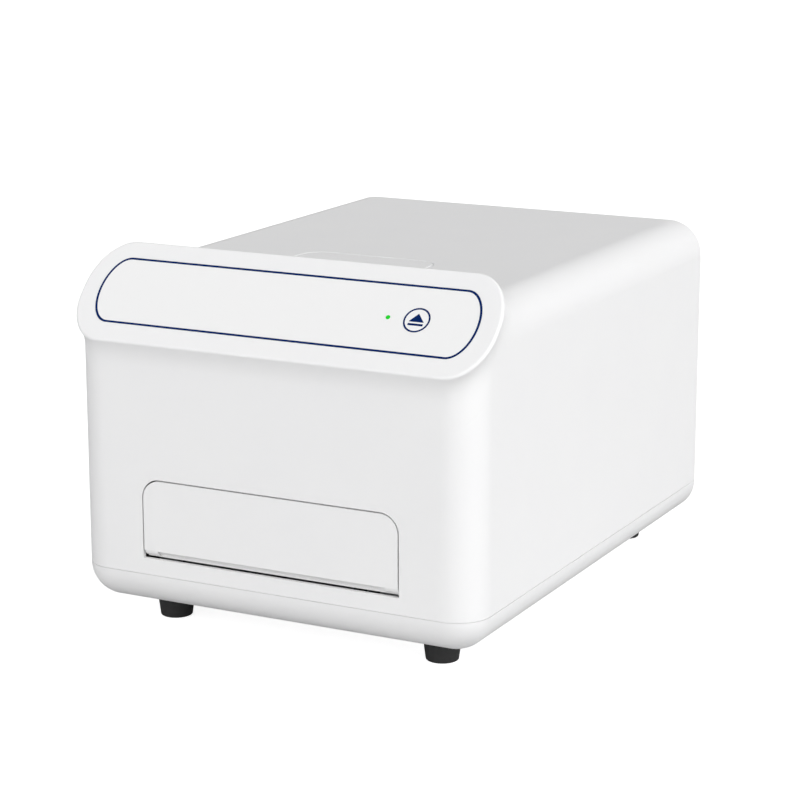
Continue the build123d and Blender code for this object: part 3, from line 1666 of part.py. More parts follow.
def light_guide():
    """Fibre light guide: out of the ferrule, one bend, and down into the manifold's gland."""
    start = (optic_x, ferrule_start_y() + ferrule_length, optic_height)
    corner = (optic_x, read_y, optic_height)
    end = (optic_x, read_y, deck_top + manifold_height)
    path = FilletPolyline(start, corner, end, radius=guide_bend_radius)
    section = Plane(origin=start, z_dir=(0, 1, 0)) * Circle(light_guide_radius)
    return sweep(section, path=path)


# ---------------------------------------------------------------------------
# Electronics
# ---------------------------------------------------------------------------

def main_board_limits():
    """X and Y limits of the main board."""
    back = behind(main_board_back)
    return (main_board_left, main_board_left + main_board_width), (back - main_board_length, back)


def main_board_z():
    """Underside of the main board."""
    return deck_top + standoff_height


def usb_middle_z():
    """Level of the middle of the data socket."""
    return main_board_z() + board_thickness + usb_height / 2


def standoff_places():
    """X and Y of the four standoffs under the main board."""
    (left, right), (front, back) = main_board_limits()
    xs = (left + standoff_inset, right - standoff_inset)
    ys = (front + standoff_inset, back - standoff_inset)
    return [(x, y) for x in xs for y in ys]


def main_board():
    """Main circuit board with its processor, driver chips and connectors."""
    x_limits, y_limits = main_board_limits()
    low = main_board_z()
    top = low + board_thickness
    board = block(x_limits, y_limits, (low, top))
    board = fillet(board.edges().filter_by(Axis.Z), board_corner_radius)
    middle = (sum(x_limits) / 2, sum(y_limits) / 2)
    chip_grid = GridLocations(chip_pitch_across, chip_pitch_along, 3, 2)
    chips = spread(chip_grid, Rectangle(chip_width, chip_length))
    chips += Rectangle(processor_side, processor_side)
    board += flat(Pos(*middle) * chips, top, chip_height)
    header_row = GridLocations(header_pitch, 0, header_count, 1)
    headers = spread(header_row, Rectangle(header_length, header_width))
    board += flat(Pos(middle[0], y_limits[0] + 2 * header_width) * headers, top, header_height)
    for x, y in standoff_places():
        board -= bar(m3_shank, (x, y, low), (x, y, top))
    return board


def board_standoffs():
    """Threaded spacers with a peg through each corner hole of the main board."""
    low, top = deck_top, main_board_z()
    peg_top = top + board_thickness + 2
    peg = m3_shank - screw_clearance
    points = [
        (0, low), (standoff_radius, low), (standoff_radius, top), (peg, top), (peg, peg_top), (0, peg_top),
    ]
    return at_each(turned(points), [Pos(x, y, 0) for x, y in standoff_places()])


def power_supply():
    """Power supply in a sheet cage, with a row of slots in its top."""
    x_limits = (supply_left, supply_left + supply_width)
    y_limits = (behind(supply_front), behind(supply_front + supply_length))
    top = chassis_top + supply_height
    cage = block(x_limits, y_limits, (chassis_top, top))
    top_edges = cage.edges().filter_by(Axis.Y).filter_by_position(Axis.Z, top, top)
    cage = fillet(top_edges, supply_corner_radius)
    pitch = supply_length / (supply_slot_count + 1)
    row = GridLocations(0, pitch, 1, supply_slot_count)
    centre = Pos(supply_left + supply_width / 2, behind(supply_front + supply_length / 2))
    slots = centre * spread(row, SlotOverall(supply_slot_length, supply_slot_width))
    return cage - flat(slots, top - supply_corner_radius, supply_corner_radius)


# ---------------------------------------------------------------------------
# Fan, power inlet, rocker switch and data socket
# ---------------------------------------------------------------------------

def fan_plane():
    """Plane of the fan, its Z axis pointing out of the rear."""
    origin = (0, rear_panel_front_y - fan_depth, fan_height)
    return Plane(origin=origin, x_dir=(-1, 0, 0), z_dir=(0, 1, 0))


def fan_frame():
    """Square fan frame with a round duct, a motor seat and four struts."""
    frame = RectangleRounded(fan_side, fan_side, fan_corner_radius) - Circle(fan_bore_radius)
    corners = GridLocations(fan_hole_pitch, fan_hole_pitch, 2, 2)
    holes = spread(corners, Circle(m3_shank + press_clearance))
    body = extrude(frame - holes, fan_depth)
    struts = Rectangle(2 * fan_bore_radius + 1, fan_strut_width)
    struts += Rectangle(fan_strut_width, 2 * fan_bore_radius + 1)
    seat = struts + Circle(fan_hub_radius)
    body += extrude(seat, fan_seat_thickness)
    return fan_plane() * (body - extrude(Circle(shaft_radius / 2 + running_clearance), fan_depth))


def fan_rotor():
    """Fan rotor: a hub with pitched blades and a spindle in the motor seat."""
    start = fan_seat_thickness + fan_blade_gap
    length = fan_depth - start - fan_blade_gap
    hub = Pos(0, 0, start) * extrude(Circle(fan_hub_radius), length)
    hub += Pos(0, 0, fan_blade_gap) * extrude(Circle(shaft_radius / 2), start)
    reach = fan_bore_radius - fan_blade_gap
    blade_span = reach - fan_hub_radius + 2
    chord = length / math.sin(math.radians(fan_blade_angle)) - 2
    blade = Pos(fan_hub_radius - 1 + blade_span / 2, 0, start + length / 2)
    blade = blade * Rot(fan_blade_angle, 0, 0) * Box(blade_span, chord, fan_blade_thickness)
    reach_limit = Pos(0, 0, start) * extrude(Circle(reach), length)
    blades = [place * (blade & reach_limit) for place in PolarLocations(0, fan_blade_count)]
    return fan_plane() * (hub + blades)


def power_inlet():
    """Mains inlet: a flanged body with a socket and three flat contacts."""
    centre = Pos(inlet_across, inlet_height)
    front = rear_panel_back_y + inlet_flange_thickness
    body = upright(centre * Rectangle(inlet_width - press_clearance, inlet_body_height - press_clearance),
                   front - inlet_depth, inlet_depth)
    flange_width = inlet_width + 2 * inlet_flange
    flange_height = inlet_body_height + 2 * inlet_flange
    flange = RectangleRounded(flange_width, flange_height, inlet_flange_corner)
    body += upright(centre * flange, rear_panel_back_y, inlet_flange_thickness)
    mouth = Rectangle(inlet_width - 2 * inlet_wall, inlet_body_height - 2 * inlet_wall)
    mouth = chamfer(mouth.vertices().sort_by(Axis.Y)[-2:], inlet_mouth_bevel)
    body -= upright(centre * mouth, front - inlet_socket_depth, inlet_socket_depth)
    pin_row = GridLocations(inlet_pin_pitch, 0, 3, 1)
    pins = spread(pin_row, Rectangle(inlet_pin_thickness, inlet_pin_width))
    pins_y = front - inlet_socket_depth
    return body + upright(centre * pins, pins_y, inlet_pin_length)


def rocker_limits():
    """Y of the outer face of the switch frame, and its pivot line."""
    front = rear_panel_back_y + rocker_flange
    return front, front - rocker_pivot_radius * 2


def rocker_frame():
    """Frame of the mains switch, snapped into the rear panel, with two pivot bores."""
    centre = Pos(rocker_across, inlet_height)
    front, pivot_y = rocker_limits()
    body = upright(centre * Rectangle(rocker_width - press_clearance, rocker_length - press_clearance),
                   front - rocker_depth, rocker_depth)
    flange_width = rocker_width + 2 * rocker_flange
    flange_length = rocker_length + 2 * rocker_flange
    flange = RectangleRounded(flange_width, flange_length, rocker_flange)
    body += upright(centre * flange, rear_panel_back_y, rocker_flange)
    mouth = Rectangle(rocker_width - 2 * rocker_wall, rocker_length - 2 * rocker_wall)
    body -= upright(centre * mouth, front - rocker_depth + rocker_wall, rocker_depth)
    reach = rocker_width / 2
    bore = rocker_pivot_radius + running_clearance
    return body - bar(bore, (rocker_across - reach + rocker_bore_inset, pivot_y, inlet_height),
                      (rocker_across + reach - rocker_bore_inset, pivot_y, inlet_height))


def power_rocker():
    """Rocker with two faces that meet at a shallow angle, modelled in its off position."""
    pivot_y = rocker_limits()[1]
    depth = rocker_proud + rocker_pivot_radius * 2
    turned_in = depth * math.sin(math.radians(rocker_swing / 2))
    half = rocker_length / 2 - rocker_wall - turned_in - seat_clearance
    lean = math.tan(math.radians(rocker_swing / 2))
    waist = half - rocker_waist_inset
    points = [
        (0, depth - half * lean), (half, depth), (waist, 0), (rocker_pivot_radius, -rocker_heel),
        (-rocker_pivot_radius, -rocker_heel), (-waist, 0), (-half, depth),
    ]
    plane = Plane(origin=(rocker_across, pivot_y, inlet_height), x_dir=(0, 0, 1), z_dir=(-1, 0, 0))
    width = rocker_width - 2 * rocker_wall - 2 * seat_clearance
    profile = Rot(0, 0, rocker_swing / 2) * outline(points)
    body = extrude(plane * profile, width / 2, both=True)
    pin_reach = rocker_width / 2 - rocker_wall / 2
    return body + bar(rocker_pivot_radius, (rocker_across - pin_reach, pivot_y, inlet_height),
                      (rocker_across + pin_reach, pivot_y, inlet_height))


def usb_port():
    """Data socket on the main board: a shield with a tongue set back in its mouth."""
    centre = Pos(usb_across, usb_middle_z())
    back = rear_panel_back_y + usb_proud
    shield = fillet(Rectangle(usb_width, usb_height).vertices(), usb_corner_radius)
    mouth = Rectangle(usb_width - 2 * usb_wall, usb_height - 2 * usb_wall)
    body = upright(centre * shield, back - usb_length, usb_length)
    body -= upright(centre * mouth, back - usb_length + usb_wall, usb_length)
    tongue = Rectangle(usb_width / 2, usb_height / 3)
    return body + upright(centre * tongue, back - usb_length, usb_length - usb_tongue_setback)


# ---------------------------------------------------------------------------
# The nodes
# ---------------------------------------------------------------------------

pieces = [
    base_pan, upper_housing, rear_panel, service_hatch, panel_overlay, eject_button, status_led,
    keypad_board, key_switch, keypad_screws, plate_door, door_hinge_pins, door_hinge_blocks,
    rubber_feet, foot_screws, base_screws, rear_panel_screws,
    chassis_plate, deck_posts, deck_screws, optics_deck,
    guide_rods, rod_supports, plate_carrier, carrier_bushings, belt_clamp, timing_belt,
    drive_pulley, drive_shaft, idler_pulley, idler_pin, idler_bracket, tray_motor, tray_motor_bracket,
    lens_manifold, lens_barrels, detector_board, photodiodes, detector_bracket,
    filter_wheel, optical_filters, wheel_shaft, filter_motor, filter_motor_bracket,
    lamp_housing, lamp, lens_tube, condenser_lens, guide_ferrule, guide_bracket, light_guide,
    main_board, board_standoffs, power_supply,
    fan_frame, fan_rotor, power_inlet, rocker_frame, power_rocker, usb_port,
]

os.makedirs("parts", exist_ok=True)
for piece in pieces:
    export_step(piece(), f"parts/{piece.__name__}.step")
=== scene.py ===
import math

import bmesh
import bpy
from mathutils import Matrix, Vector


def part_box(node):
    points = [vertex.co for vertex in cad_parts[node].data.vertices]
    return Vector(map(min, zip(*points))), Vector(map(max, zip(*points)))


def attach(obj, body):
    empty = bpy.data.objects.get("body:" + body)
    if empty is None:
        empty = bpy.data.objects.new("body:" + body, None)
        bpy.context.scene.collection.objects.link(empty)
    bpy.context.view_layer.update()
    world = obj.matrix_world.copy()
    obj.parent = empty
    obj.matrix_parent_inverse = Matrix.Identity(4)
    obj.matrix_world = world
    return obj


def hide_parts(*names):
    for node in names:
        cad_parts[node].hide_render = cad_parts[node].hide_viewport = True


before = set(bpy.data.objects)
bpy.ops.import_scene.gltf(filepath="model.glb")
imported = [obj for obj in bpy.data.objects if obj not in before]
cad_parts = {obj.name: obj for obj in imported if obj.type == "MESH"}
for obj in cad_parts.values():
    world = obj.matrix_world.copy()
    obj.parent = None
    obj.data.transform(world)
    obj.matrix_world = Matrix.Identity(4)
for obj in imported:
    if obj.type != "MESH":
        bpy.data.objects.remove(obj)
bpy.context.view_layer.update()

mm = 0.001


# ---------------------------------------------------------------------------
# Camera
# A long lens at standing height, to the right of the front and looking a little down,
# so that the front, the right side and the roof all show.
# ---------------------------------------------------------------------------

camera_place = Vector((0.77929, -1.52271, 0.54508))
camera_azimuth = math.radians(27.173)
camera_fall = math.radians(13.599)
camera_roll = math.radians(-0.035)

camera = bpy.data.objects.new("camera", bpy.data.cameras.new("camera"))
camera.data.lens = 110.37
camera.data.sensor_width = 36.0
camera.data.shift_x = -0.0027
camera.data.shift_y = 0.0018
camera.data.clip_start = 0.05
camera.data.clip_end = 50.0
camera.matrix_world = (
    Matrix.Translation(camera_place)
    @ Matrix.Rotation(camera_azimuth, 4, "Z")
    @ Matrix.Rotation(math.pi / 2 - camera_fall, 4, "X")
    @ Matrix.Rotation(camera_roll, 4, "Z")
)
bpy.context.scene.collection.objects.link(camera)
bpy.context.scene.camera = camera
bpy.context.scene.view_settings.view_transform = "Standard"


# ---------------------------------------------------------------------------
# Studio light
# Broad soft boxes in a bright room: two low ones at the front, two at the right, one
# above the other, and a weak one behind. Each is given by where it stands and how wide it is.
# ---------------------------------------------------------------------------

# name, degrees round from the front to the right, degrees above the floor, strength, width in degrees
soft_lamps = [
    ("front_lamp", 0.0, 15.0, 1.37, 60.0),
    ("left_lamp", -30.0, 15.0, 0.72, 60.0),
    ("low_right_lamp", 90.0, 15.0, 1.47, 60.0),
    ("high_right_lamp", 90.0, 40.0, 1.22, 60.0),
    ("back_lamp", 200.0, 15.0, 0.18, 60.0),
]
for lamp_name, around, above, strength, width in soft_lamps:
    lamp_data = bpy.data.lights.new(lamp_name, "SUN")
    lamp_data.energy = strength
    lamp_data.angle = math.radians(width)
    lamp = bpy.data.objects.new(lamp_name, lamp_data)
    side, height = math.radians(around), math.radians(above)
    towards_lamp = Vector((
        math.sin(side) * math.cos(height), -math.cos(side) * math.cos(height), math.sin(height),
    ))
    lamp.rotation_euler = towards_lamp.to_track_quat("Z", "Y").to_euler()
    bpy.context.scene.collection.objects.link(lamp)


def linear(hex_colour):
    """An sRGB hex colour as linear red, green, blue and a full alpha."""
    channels = [int(hex_colour[i:i + 2], 16) / 255 for i in (1, 3, 5)]
    curve = [c / 12.92 if c <= 0.04045 else ((c + 0.055) / 1.055) ** 2.4 for c in channels]
    return (*curve, 1.0)


def add_node(tree, kind, settings=None, links=None):
    """One shader node with its settings, given by attribute or socket, and its incoming links."""
    node = tree.nodes.new(kind)
    for key, value in (settings or {}).items():
        if isinstance(key, str) and hasattr(node, key):
            setattr(node, key, value)
        else:
            node.inputs[key].default_value = value
    for key, source in (links or {}).items():
        tree.links.new(source, node.inputs[key])
    return node


room_light = 0.22
room = bpy.data.worlds.new("bright_room")
bpy.context.scene.world = room
room.use_nodes = True
room_tree = room.node_tree
room_tree.nodes.clear()
ray = add_node(room_tree, "ShaderNodeLightPath")
seen = add_node(room_tree, "ShaderNodeMath", {"operation": "MAXIMUM"},
                {0: ray.outputs["Is Camera Ray"], 1: ray.outputs["Is Transmission Ray"]})
level = add_node(room_tree, "ShaderNodeMapRange", {"To Min": room_light, "To Max": 1.0},
                 {"Value": seen.outputs[0]})
sky = add_node(room_tree, "ShaderNodeBackground", {"Color": linear("#ffffff")},
               {"Strength": level.outputs[0]})
add_node(room_tree, "ShaderNodeOutputWorld", links={"Surface": sky.outputs[0]})


# ---------------------------------------------------------------------------
# Floor
# A pale studio floor, bright enough to the eye to go white, on which the soft shadow
# under the instrument still shows.
# ---------------------------------------------------------------------------

floor_reach = 6.0
floor_glow = 0.88
floor_pale = "#c2c2c2"

floor_mesh = bpy.data.meshes.new("floor")
floor_mesh.from_pydata(
    [(-floor_reach, -floor_reach, 0), (floor_reach, -floor_reach, 0),
     (floor_reach, floor_reach, 0), (-floor_reach, floor_reach, 0)], [], [(0, 1, 2, 3)])
floor = bpy.data.objects.new("floor", floor_mesh)
bpy.context.scene.collection.objects.link(floor)

floor_paint = bpy.data.materials.new("pale_floor_paint")
floor_paint.use_nodes = True
floor_tree = floor_paint.node_tree
floor_tree.nodes.clear()
ray = add_node(floor_tree, "ShaderNodeLightPath")
seen = add_node(floor_tree, "ShaderNodeMath", {"operation": "MAXIMUM"},
                {0: ray.outputs["Is Camera Ray"], 1: ray.outputs["Is Transmission Ray"]})
glow_level = add_node(floor_tree, "ShaderNodeMath", {"operation": "MULTIPLY", 1: floor_glow},
                      {0: seen.outputs[0]})
glow = add_node(floor_tree, "ShaderNodeEmission", links={"Strength": glow_level.outputs[0]})
matt = add_node(floor_tree, "ShaderNodeBsdfDiffuse", {"Color": linear(floor_pale)})
both = add_node(floor_tree, "ShaderNodeAddShader", links={0: glow.outputs[0], 1: matt.outputs[0]})
add_node(floor_tree, "ShaderNodeOutputMaterial", links={"Surface": both.outputs[0]})
floor_mesh.materials.append(floor_paint)


# ---------------------------------------------------------------------------
# Moulded housing, base, door and hatch
# White ABS, injection moulded against a spark-eroded tool, so the skin is satin, with
# no sharp highlight. The real grain is too fine to show, so it is drawn coarser.
# ---------------------------------------------------------------------------

def new_material(name):
    """An empty node material with a Principled shader; returns it, its tree, shader and coordinates."""
    material = bpy.data.materials.new(name)
    material.use_nodes = True
    tree = material.node_tree
    tree.nodes.clear()
    shader = add_node(tree, "ShaderNodeBsdfPrincipled")
    add_node(tree, "ShaderNodeOutputMaterial", links={"Surface": shader.outputs[0]})
    place = add_node(tree, "ShaderNodeTexCoord").outputs["Object"]
    return material, tree, shader, place


def finish_nodes(material, *names):
    """Gives CAD nodes this material."""
    for name in names:
        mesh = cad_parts[name].data
        mesh.materials.clear()
        mesh.materials.append(material)


spark_grain = 0.7 * mm
grain_depth = 0.004 * mm
flow_cloud = 60 * mm

moulded_abs, tree, shader, place = new_material("moulded_white_abs")
shader.inputs["IOR"].default_value = 1.53
sparks = add_node(tree, "ShaderNodeTexNoise", {"Scale": 1 / spark_grain}, {"Vector": place})
bump = add_node(tree, "ShaderNodeBump", {"Distance": grain_depth}, {"Height": sparks.outputs[0]})
cloud = add_node(tree, "ShaderNodeTexNoise", {"Scale": 1 / flow_cloud}, {"Vector": place})
satin = add_node(tree, "ShaderNodeMapRange", {"To Min": 0.42, "To Max": 0.52}, {"Value": cloud.outputs[0]})
tint = add_node(tree, "ShaderNodeMix", {"data_type": "RGBA", 6: linear("#f3f3f3"), 7: linear("#f0f0f1")},
                {0: cloud.outputs[0]})
tree.links.new(bump.outputs[0], shader.inputs["Normal"])
tree.links.new(satin.outputs[0], shader.inputs["Roughness"])
tree.links.new(tint.outputs[2], shader.inputs["Base Color"])
finish_nodes(moulded_abs, "upper_housing", "base_pan", "plate_door", "service_hatch")


# ---------------------------------------------------------------------------
# Control overlay
# A satin polyester film bonded into the shallow recess of the tilted face. Its border
# is a navy line, screen printed on the film; the middle is left white.
# ---------------------------------------------------------------------------

film_ripple = 6 * mm
ripple_depth = 0.003 * mm

overlay_film, tree, shader, place = new_material("satin_polyester_film")
shader.inputs["Base Color"].default_value = linear("#f3f3f3")
shader.inputs["IOR"].default_value = 1.57
ripple = add_node(tree, "ShaderNodeTexNoise", {"Scale": 1 / film_ripple}, {"Vector": place})
bump = add_node(tree, "ShaderNodeBump", {"Distance": ripple_depth}, {"Height": ripple.outputs[0]})
satin = add_node(tree, "ShaderNodeMapRange", {"To Min": 0.36, "To Max": 0.44}, {"Value": ripple.outputs[0]})
tree.links.new(bump.outputs[0], shader.inputs["Normal"])
tree.links.new(satin.outputs[0], shader.inputs["Roughness"])
finish_nodes(overlay_film, "panel_overlay", "eject_button")

mesh_thread = 0.4 * mm

navy_ink, tree, shader, place = new_material("screen_printed_navy_ink")
shader.inputs["IOR"].default_value = 1.48
shader.inputs["Specular IOR Level"].default_value = 0.1
thread = add_node(tree, "ShaderNodeTexNoise", {"Scale": 1 / mesh_thread, "Detail": 1.0}, {"Vector": place})
tint = add_node(tree, "ShaderNodeMix", {"data_type": "RGBA", 6: linear("#001f56"), 7: linear("#002763")},
                {0: thread.outputs[0]})
matt = add_node(tree, "ShaderNodeMapRange", {"To Min": 0.50, "To Max": 0.62}, {"Value": thread.outputs[0]})
tree.links.new(tint.outputs[2], shader.inputs["Base Color"])
tree.links.new(matt.outputs[0], shader.inputs["Roughness"])

panel_tilt = math.radians(44.0)
film_thickness = 0.5 * mm
weld_gap = 0.001 * mm
film_end_width = 15.8 * mm
ink_depth = 0.02 * mm
ink_rise = 0.04 * mm
border_inset = 0.02 * mm
border_width = 1.55 * mm

face_normal = Vector((0, -math.cos(panel_tilt), math.sin(panel_tilt)))
face_up = Vector((0, math.sin(panel_tilt), math.cos(panel_tilt)))
film_low, film_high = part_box("panel_overlay")
film_middle = (film_low + film_high) / 2 + face_normal * film_thickness / 2
film_width = film_high.x - film_low.x
film_height = ((film_high.y - film_low.y) - film_thickness * math.cos(panel_tilt)) / math.sin(panel_tilt)


def band_loop(width, height, end_width, inset, steps=48):
    """Points anticlockwise round a band with half-ellipse ends, moved inwards by an even inset."""
    loop = []
    for side in (1, -1):
        for i in range(steps + 1):
            angle = side * math.pi * (i / steps - 0.5)
            along = Vector((side * end_width * math.cos(angle), side * height / 2 * math.sin(angle) * side))
            outward = Vector((side * math.cos(angle) / end_width, math.sin(angle) / (height / 2)))
            point = along - outward.normalized() * inset
            loop.append((side * (width / 2 - end_width) + point.x, point.y))
    return loop


def on_face(x, up, rise, middle):
    """A point on the tilted face, from its middle: across, up the slope, and out of it."""
    return middle + Vector((x, 0, 0)) + face_up * up + face_normal * rise


def new_piece(name, mesh, material, body):
    """A mesh piece in its final place, with one material, riding on a CAD body."""
    cleaned = bmesh.new()
    cleaned.from_mesh(mesh)
    bmesh.ops.remove_doubles(cleaned, verts=cleaned.verts, dist=weld_gap)
    bmesh.ops.recalc_face_normals(cleaned, faces=cleaned.faces)
    cleaned.to_mesh(mesh)
    cleaned.free()
    mesh.materials.clear()
    mesh.materials.append(material)
    piece = bpy.data.objects.new(name, mesh)
    bpy.context.scene.collection.objects.link(piece)
    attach(piece, body)
    return piece


def printed_mark(name, patches, bands, middle, body):
    """Ink on the tilted face: closed patches inside loops, and closed bands between pairs of loops."""
    points, faces = [], []
    for loop in patches:
        first, count = len(points), len(loop)
        points += [on_face(x, up, rise, middle) for rise in (-ink_depth, ink_rise) for x, up in loop]
        faces.append([first + i for i in reversed(range(count))])
        faces.append([first + count + i for i in range(count)])
        for i in range(count):
            after = (i + 1) % count
            faces.append((first + i, first + after, first + count + after, first + count + i))
    for outer, inner in bands:
        first, count = len(points), len(outer)
        rings = [(outer, -ink_depth), (outer, ink_rise), (inner, ink_rise), (inner, -ink_depth)]
        points += [on_face(x, up, rise, middle) for loop, rise in rings for x, up in loop]
        for ring in range(4):
            low, high = first + ring * count, first + (ring + 1) % 4 * count
            for i in range(count):
                after = (i + 1) % count
                faces.append((low + i, low + after, high + after, high + i))
    mesh = bpy.data.meshes.new(name)
    mesh.from_pydata(points, [], faces)
    new_piece(name, mesh, navy_ink, body)


border = [band_loop(film_width, film_height, film_end_width, inset)
          for inset in (border_inset, border_inset + border_width)]
printed_mark("overlay_border_line", [], [border], film_middle, "instrument")


# ---------------------------------------------------------------------------
# Eject key
# A round key of the same white film over a plastic cap. The ring and the plain eject
# sign, a triangle over a bar, are printed in the same navy ink.
# ---------------------------------------------------------------------------

key_ring_radius = 9.2 * mm
key_ring_width = 1.2 * mm
arrow_width = 10.8 * mm
arrow_height = 6.3 * mm
arrow_base = -1.4 * mm
bar_width = 10.6 * mm
bar_height = 1.6 * mm
bar_middle = -3.4 * mm

key_low, key_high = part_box("eject_button")
key_face = max((v.co - film_middle).dot(face_normal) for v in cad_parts["eject_button"].data.vertices)
key_middle = film_middle + Vector(((key_low.x + key_high.x) / 2, 0, 0)) + face_normal * key_face

ring = [band_loop(2 * key_ring_radius, 2 * key_ring_radius, key_ring_radius, inset)
        for inset in (0, key_ring_width)]
arrow = [(-arrow_width / 2, arrow_base), (arrow_width / 2, arrow_base), (0, arrow_base + arrow_height)]
bar = [(across * bar_width / 2, bar_middle + up * bar_height / 2)
       for across, up in ((-1, -1), (1, -1), (1, 1), (-1, 1))]
printed_mark("key_ring_and_eject_sign", [arrow, bar], [ring], key_middle, "eject_key")


# ---------------------------------------------------------------------------
# Status light
# A clear green epoxy lens with a lit chip behind it, so its middle is a little brighter.
# ---------------------------------------------------------------------------

led_glow_reach = 6 * mm

led_lens, tree, shader, place = new_material("green_epoxy_lens")
shader.inputs["Base Color"].default_value = linear("#0a9a1c")
shader.inputs["Roughness"].default_value = 0.2
shader.inputs["IOR"].default_value = 1.54
shader.inputs["Emission Color"].default_value = linear("#12e01c")
led_low, led_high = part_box("status_led")
from_middle = add_node(tree, "ShaderNodeVectorMath", {"operation": "DISTANCE", 1: (led_low + led_high) / 2},
                       {0: place})
lit = add_node(tree, "ShaderNodeMapRange",
               {"From Max": led_glow_reach, "To Min": 0.6, "To Max": 0.4},
               {"Value": from_middle.outputs["Value"]})
tree.links.new(lit.outputs[0], shader.inputs["Emission Strength"])
finish_nodes(led_lens, "status_led")


# ---------------------------------------------------------------------------
# Feet
# Black thermoplastic rubber, moulded, matt, with a slightly greyed skin.
# ---------------------------------------------------------------------------

rubber_grain = 0.5 * mm
rubber_grain_depth = 0.01 * mm

foot_rubber, tree, shader, place = new_material("moulded_black_rubber")
shader.inputs["IOR"].default_value = 1.52
skin = add_node(tree, "ShaderNodeTexNoise", {"Scale": 1 / rubber_grain}, {"Vector": place})
bump = add_node(tree, "ShaderNodeBump", {"Distance": rubber_grain_depth}, {"Height": skin.outputs[0]})
tint = add_node(tree, "ShaderNodeMix", {"data_type": "RGBA", 6: linear("#212122"), 7: linear("#292929")},
                {0: skin.outputs[0]})
matt = add_node(tree, "ShaderNodeMapRange", {"To Min": 0.62, "To Max": 0.78}, {"Value": skin.outputs[0]})
tree.links.new(bump.outputs[0], shader.inputs["Normal"])
tree.links.new(tint.outputs[2], shader.inputs["Base Color"])
tree.links.new(matt.outputs[0], shader.inputs["Roughness"])
finish_nodes(foot_rubber, "rubber_feet")


# ---------------------------------------------------------------------------
# Screws
# Zinc-plated steel pan heads with a cross recess, all of one make. Each was driven home
# by hand, so the crosses stand at any angle.
# ---------------------------------------------------------------------------

zinc_bloom = 1.5 * mm
head_corners = 40
dome_rings = 60
shank_corners = 24
rim_share = 0.55
recess_length_share = 1.05
recess_width_share = 0.28
recess_depth_share = 0.6
level_tolerance = 0.01 * mm
head_step = 0.2 * mm

zinc_plate, tree, shader, place = new_material("zinc_plated_steel")
shader.inputs["Metallic"].default_value = 1.0
bloom = add_node(tree, "ShaderNodeTexNoise", {"Scale": 1 / zinc_bloom, "Detail": 3.0}, {"Vector": place})
tint = add_node(tree, "ShaderNodeMix", {"data_type": "RGBA", 6: linear("#c9ccd0"), 7: linear("#b1b5bb")},
                {0: bloom.outputs[0]})
dulled = add_node(tree, "ShaderNodeMapRange", {"To Min": 0.28, "To Max": 0.42}, {"Value": bloom.outputs[0]})
tree.links.new(tint.outputs[2], shader.inputs["Base Color"])
tree.links.new(dulled.outputs[0], shader.inputs["Roughness"])


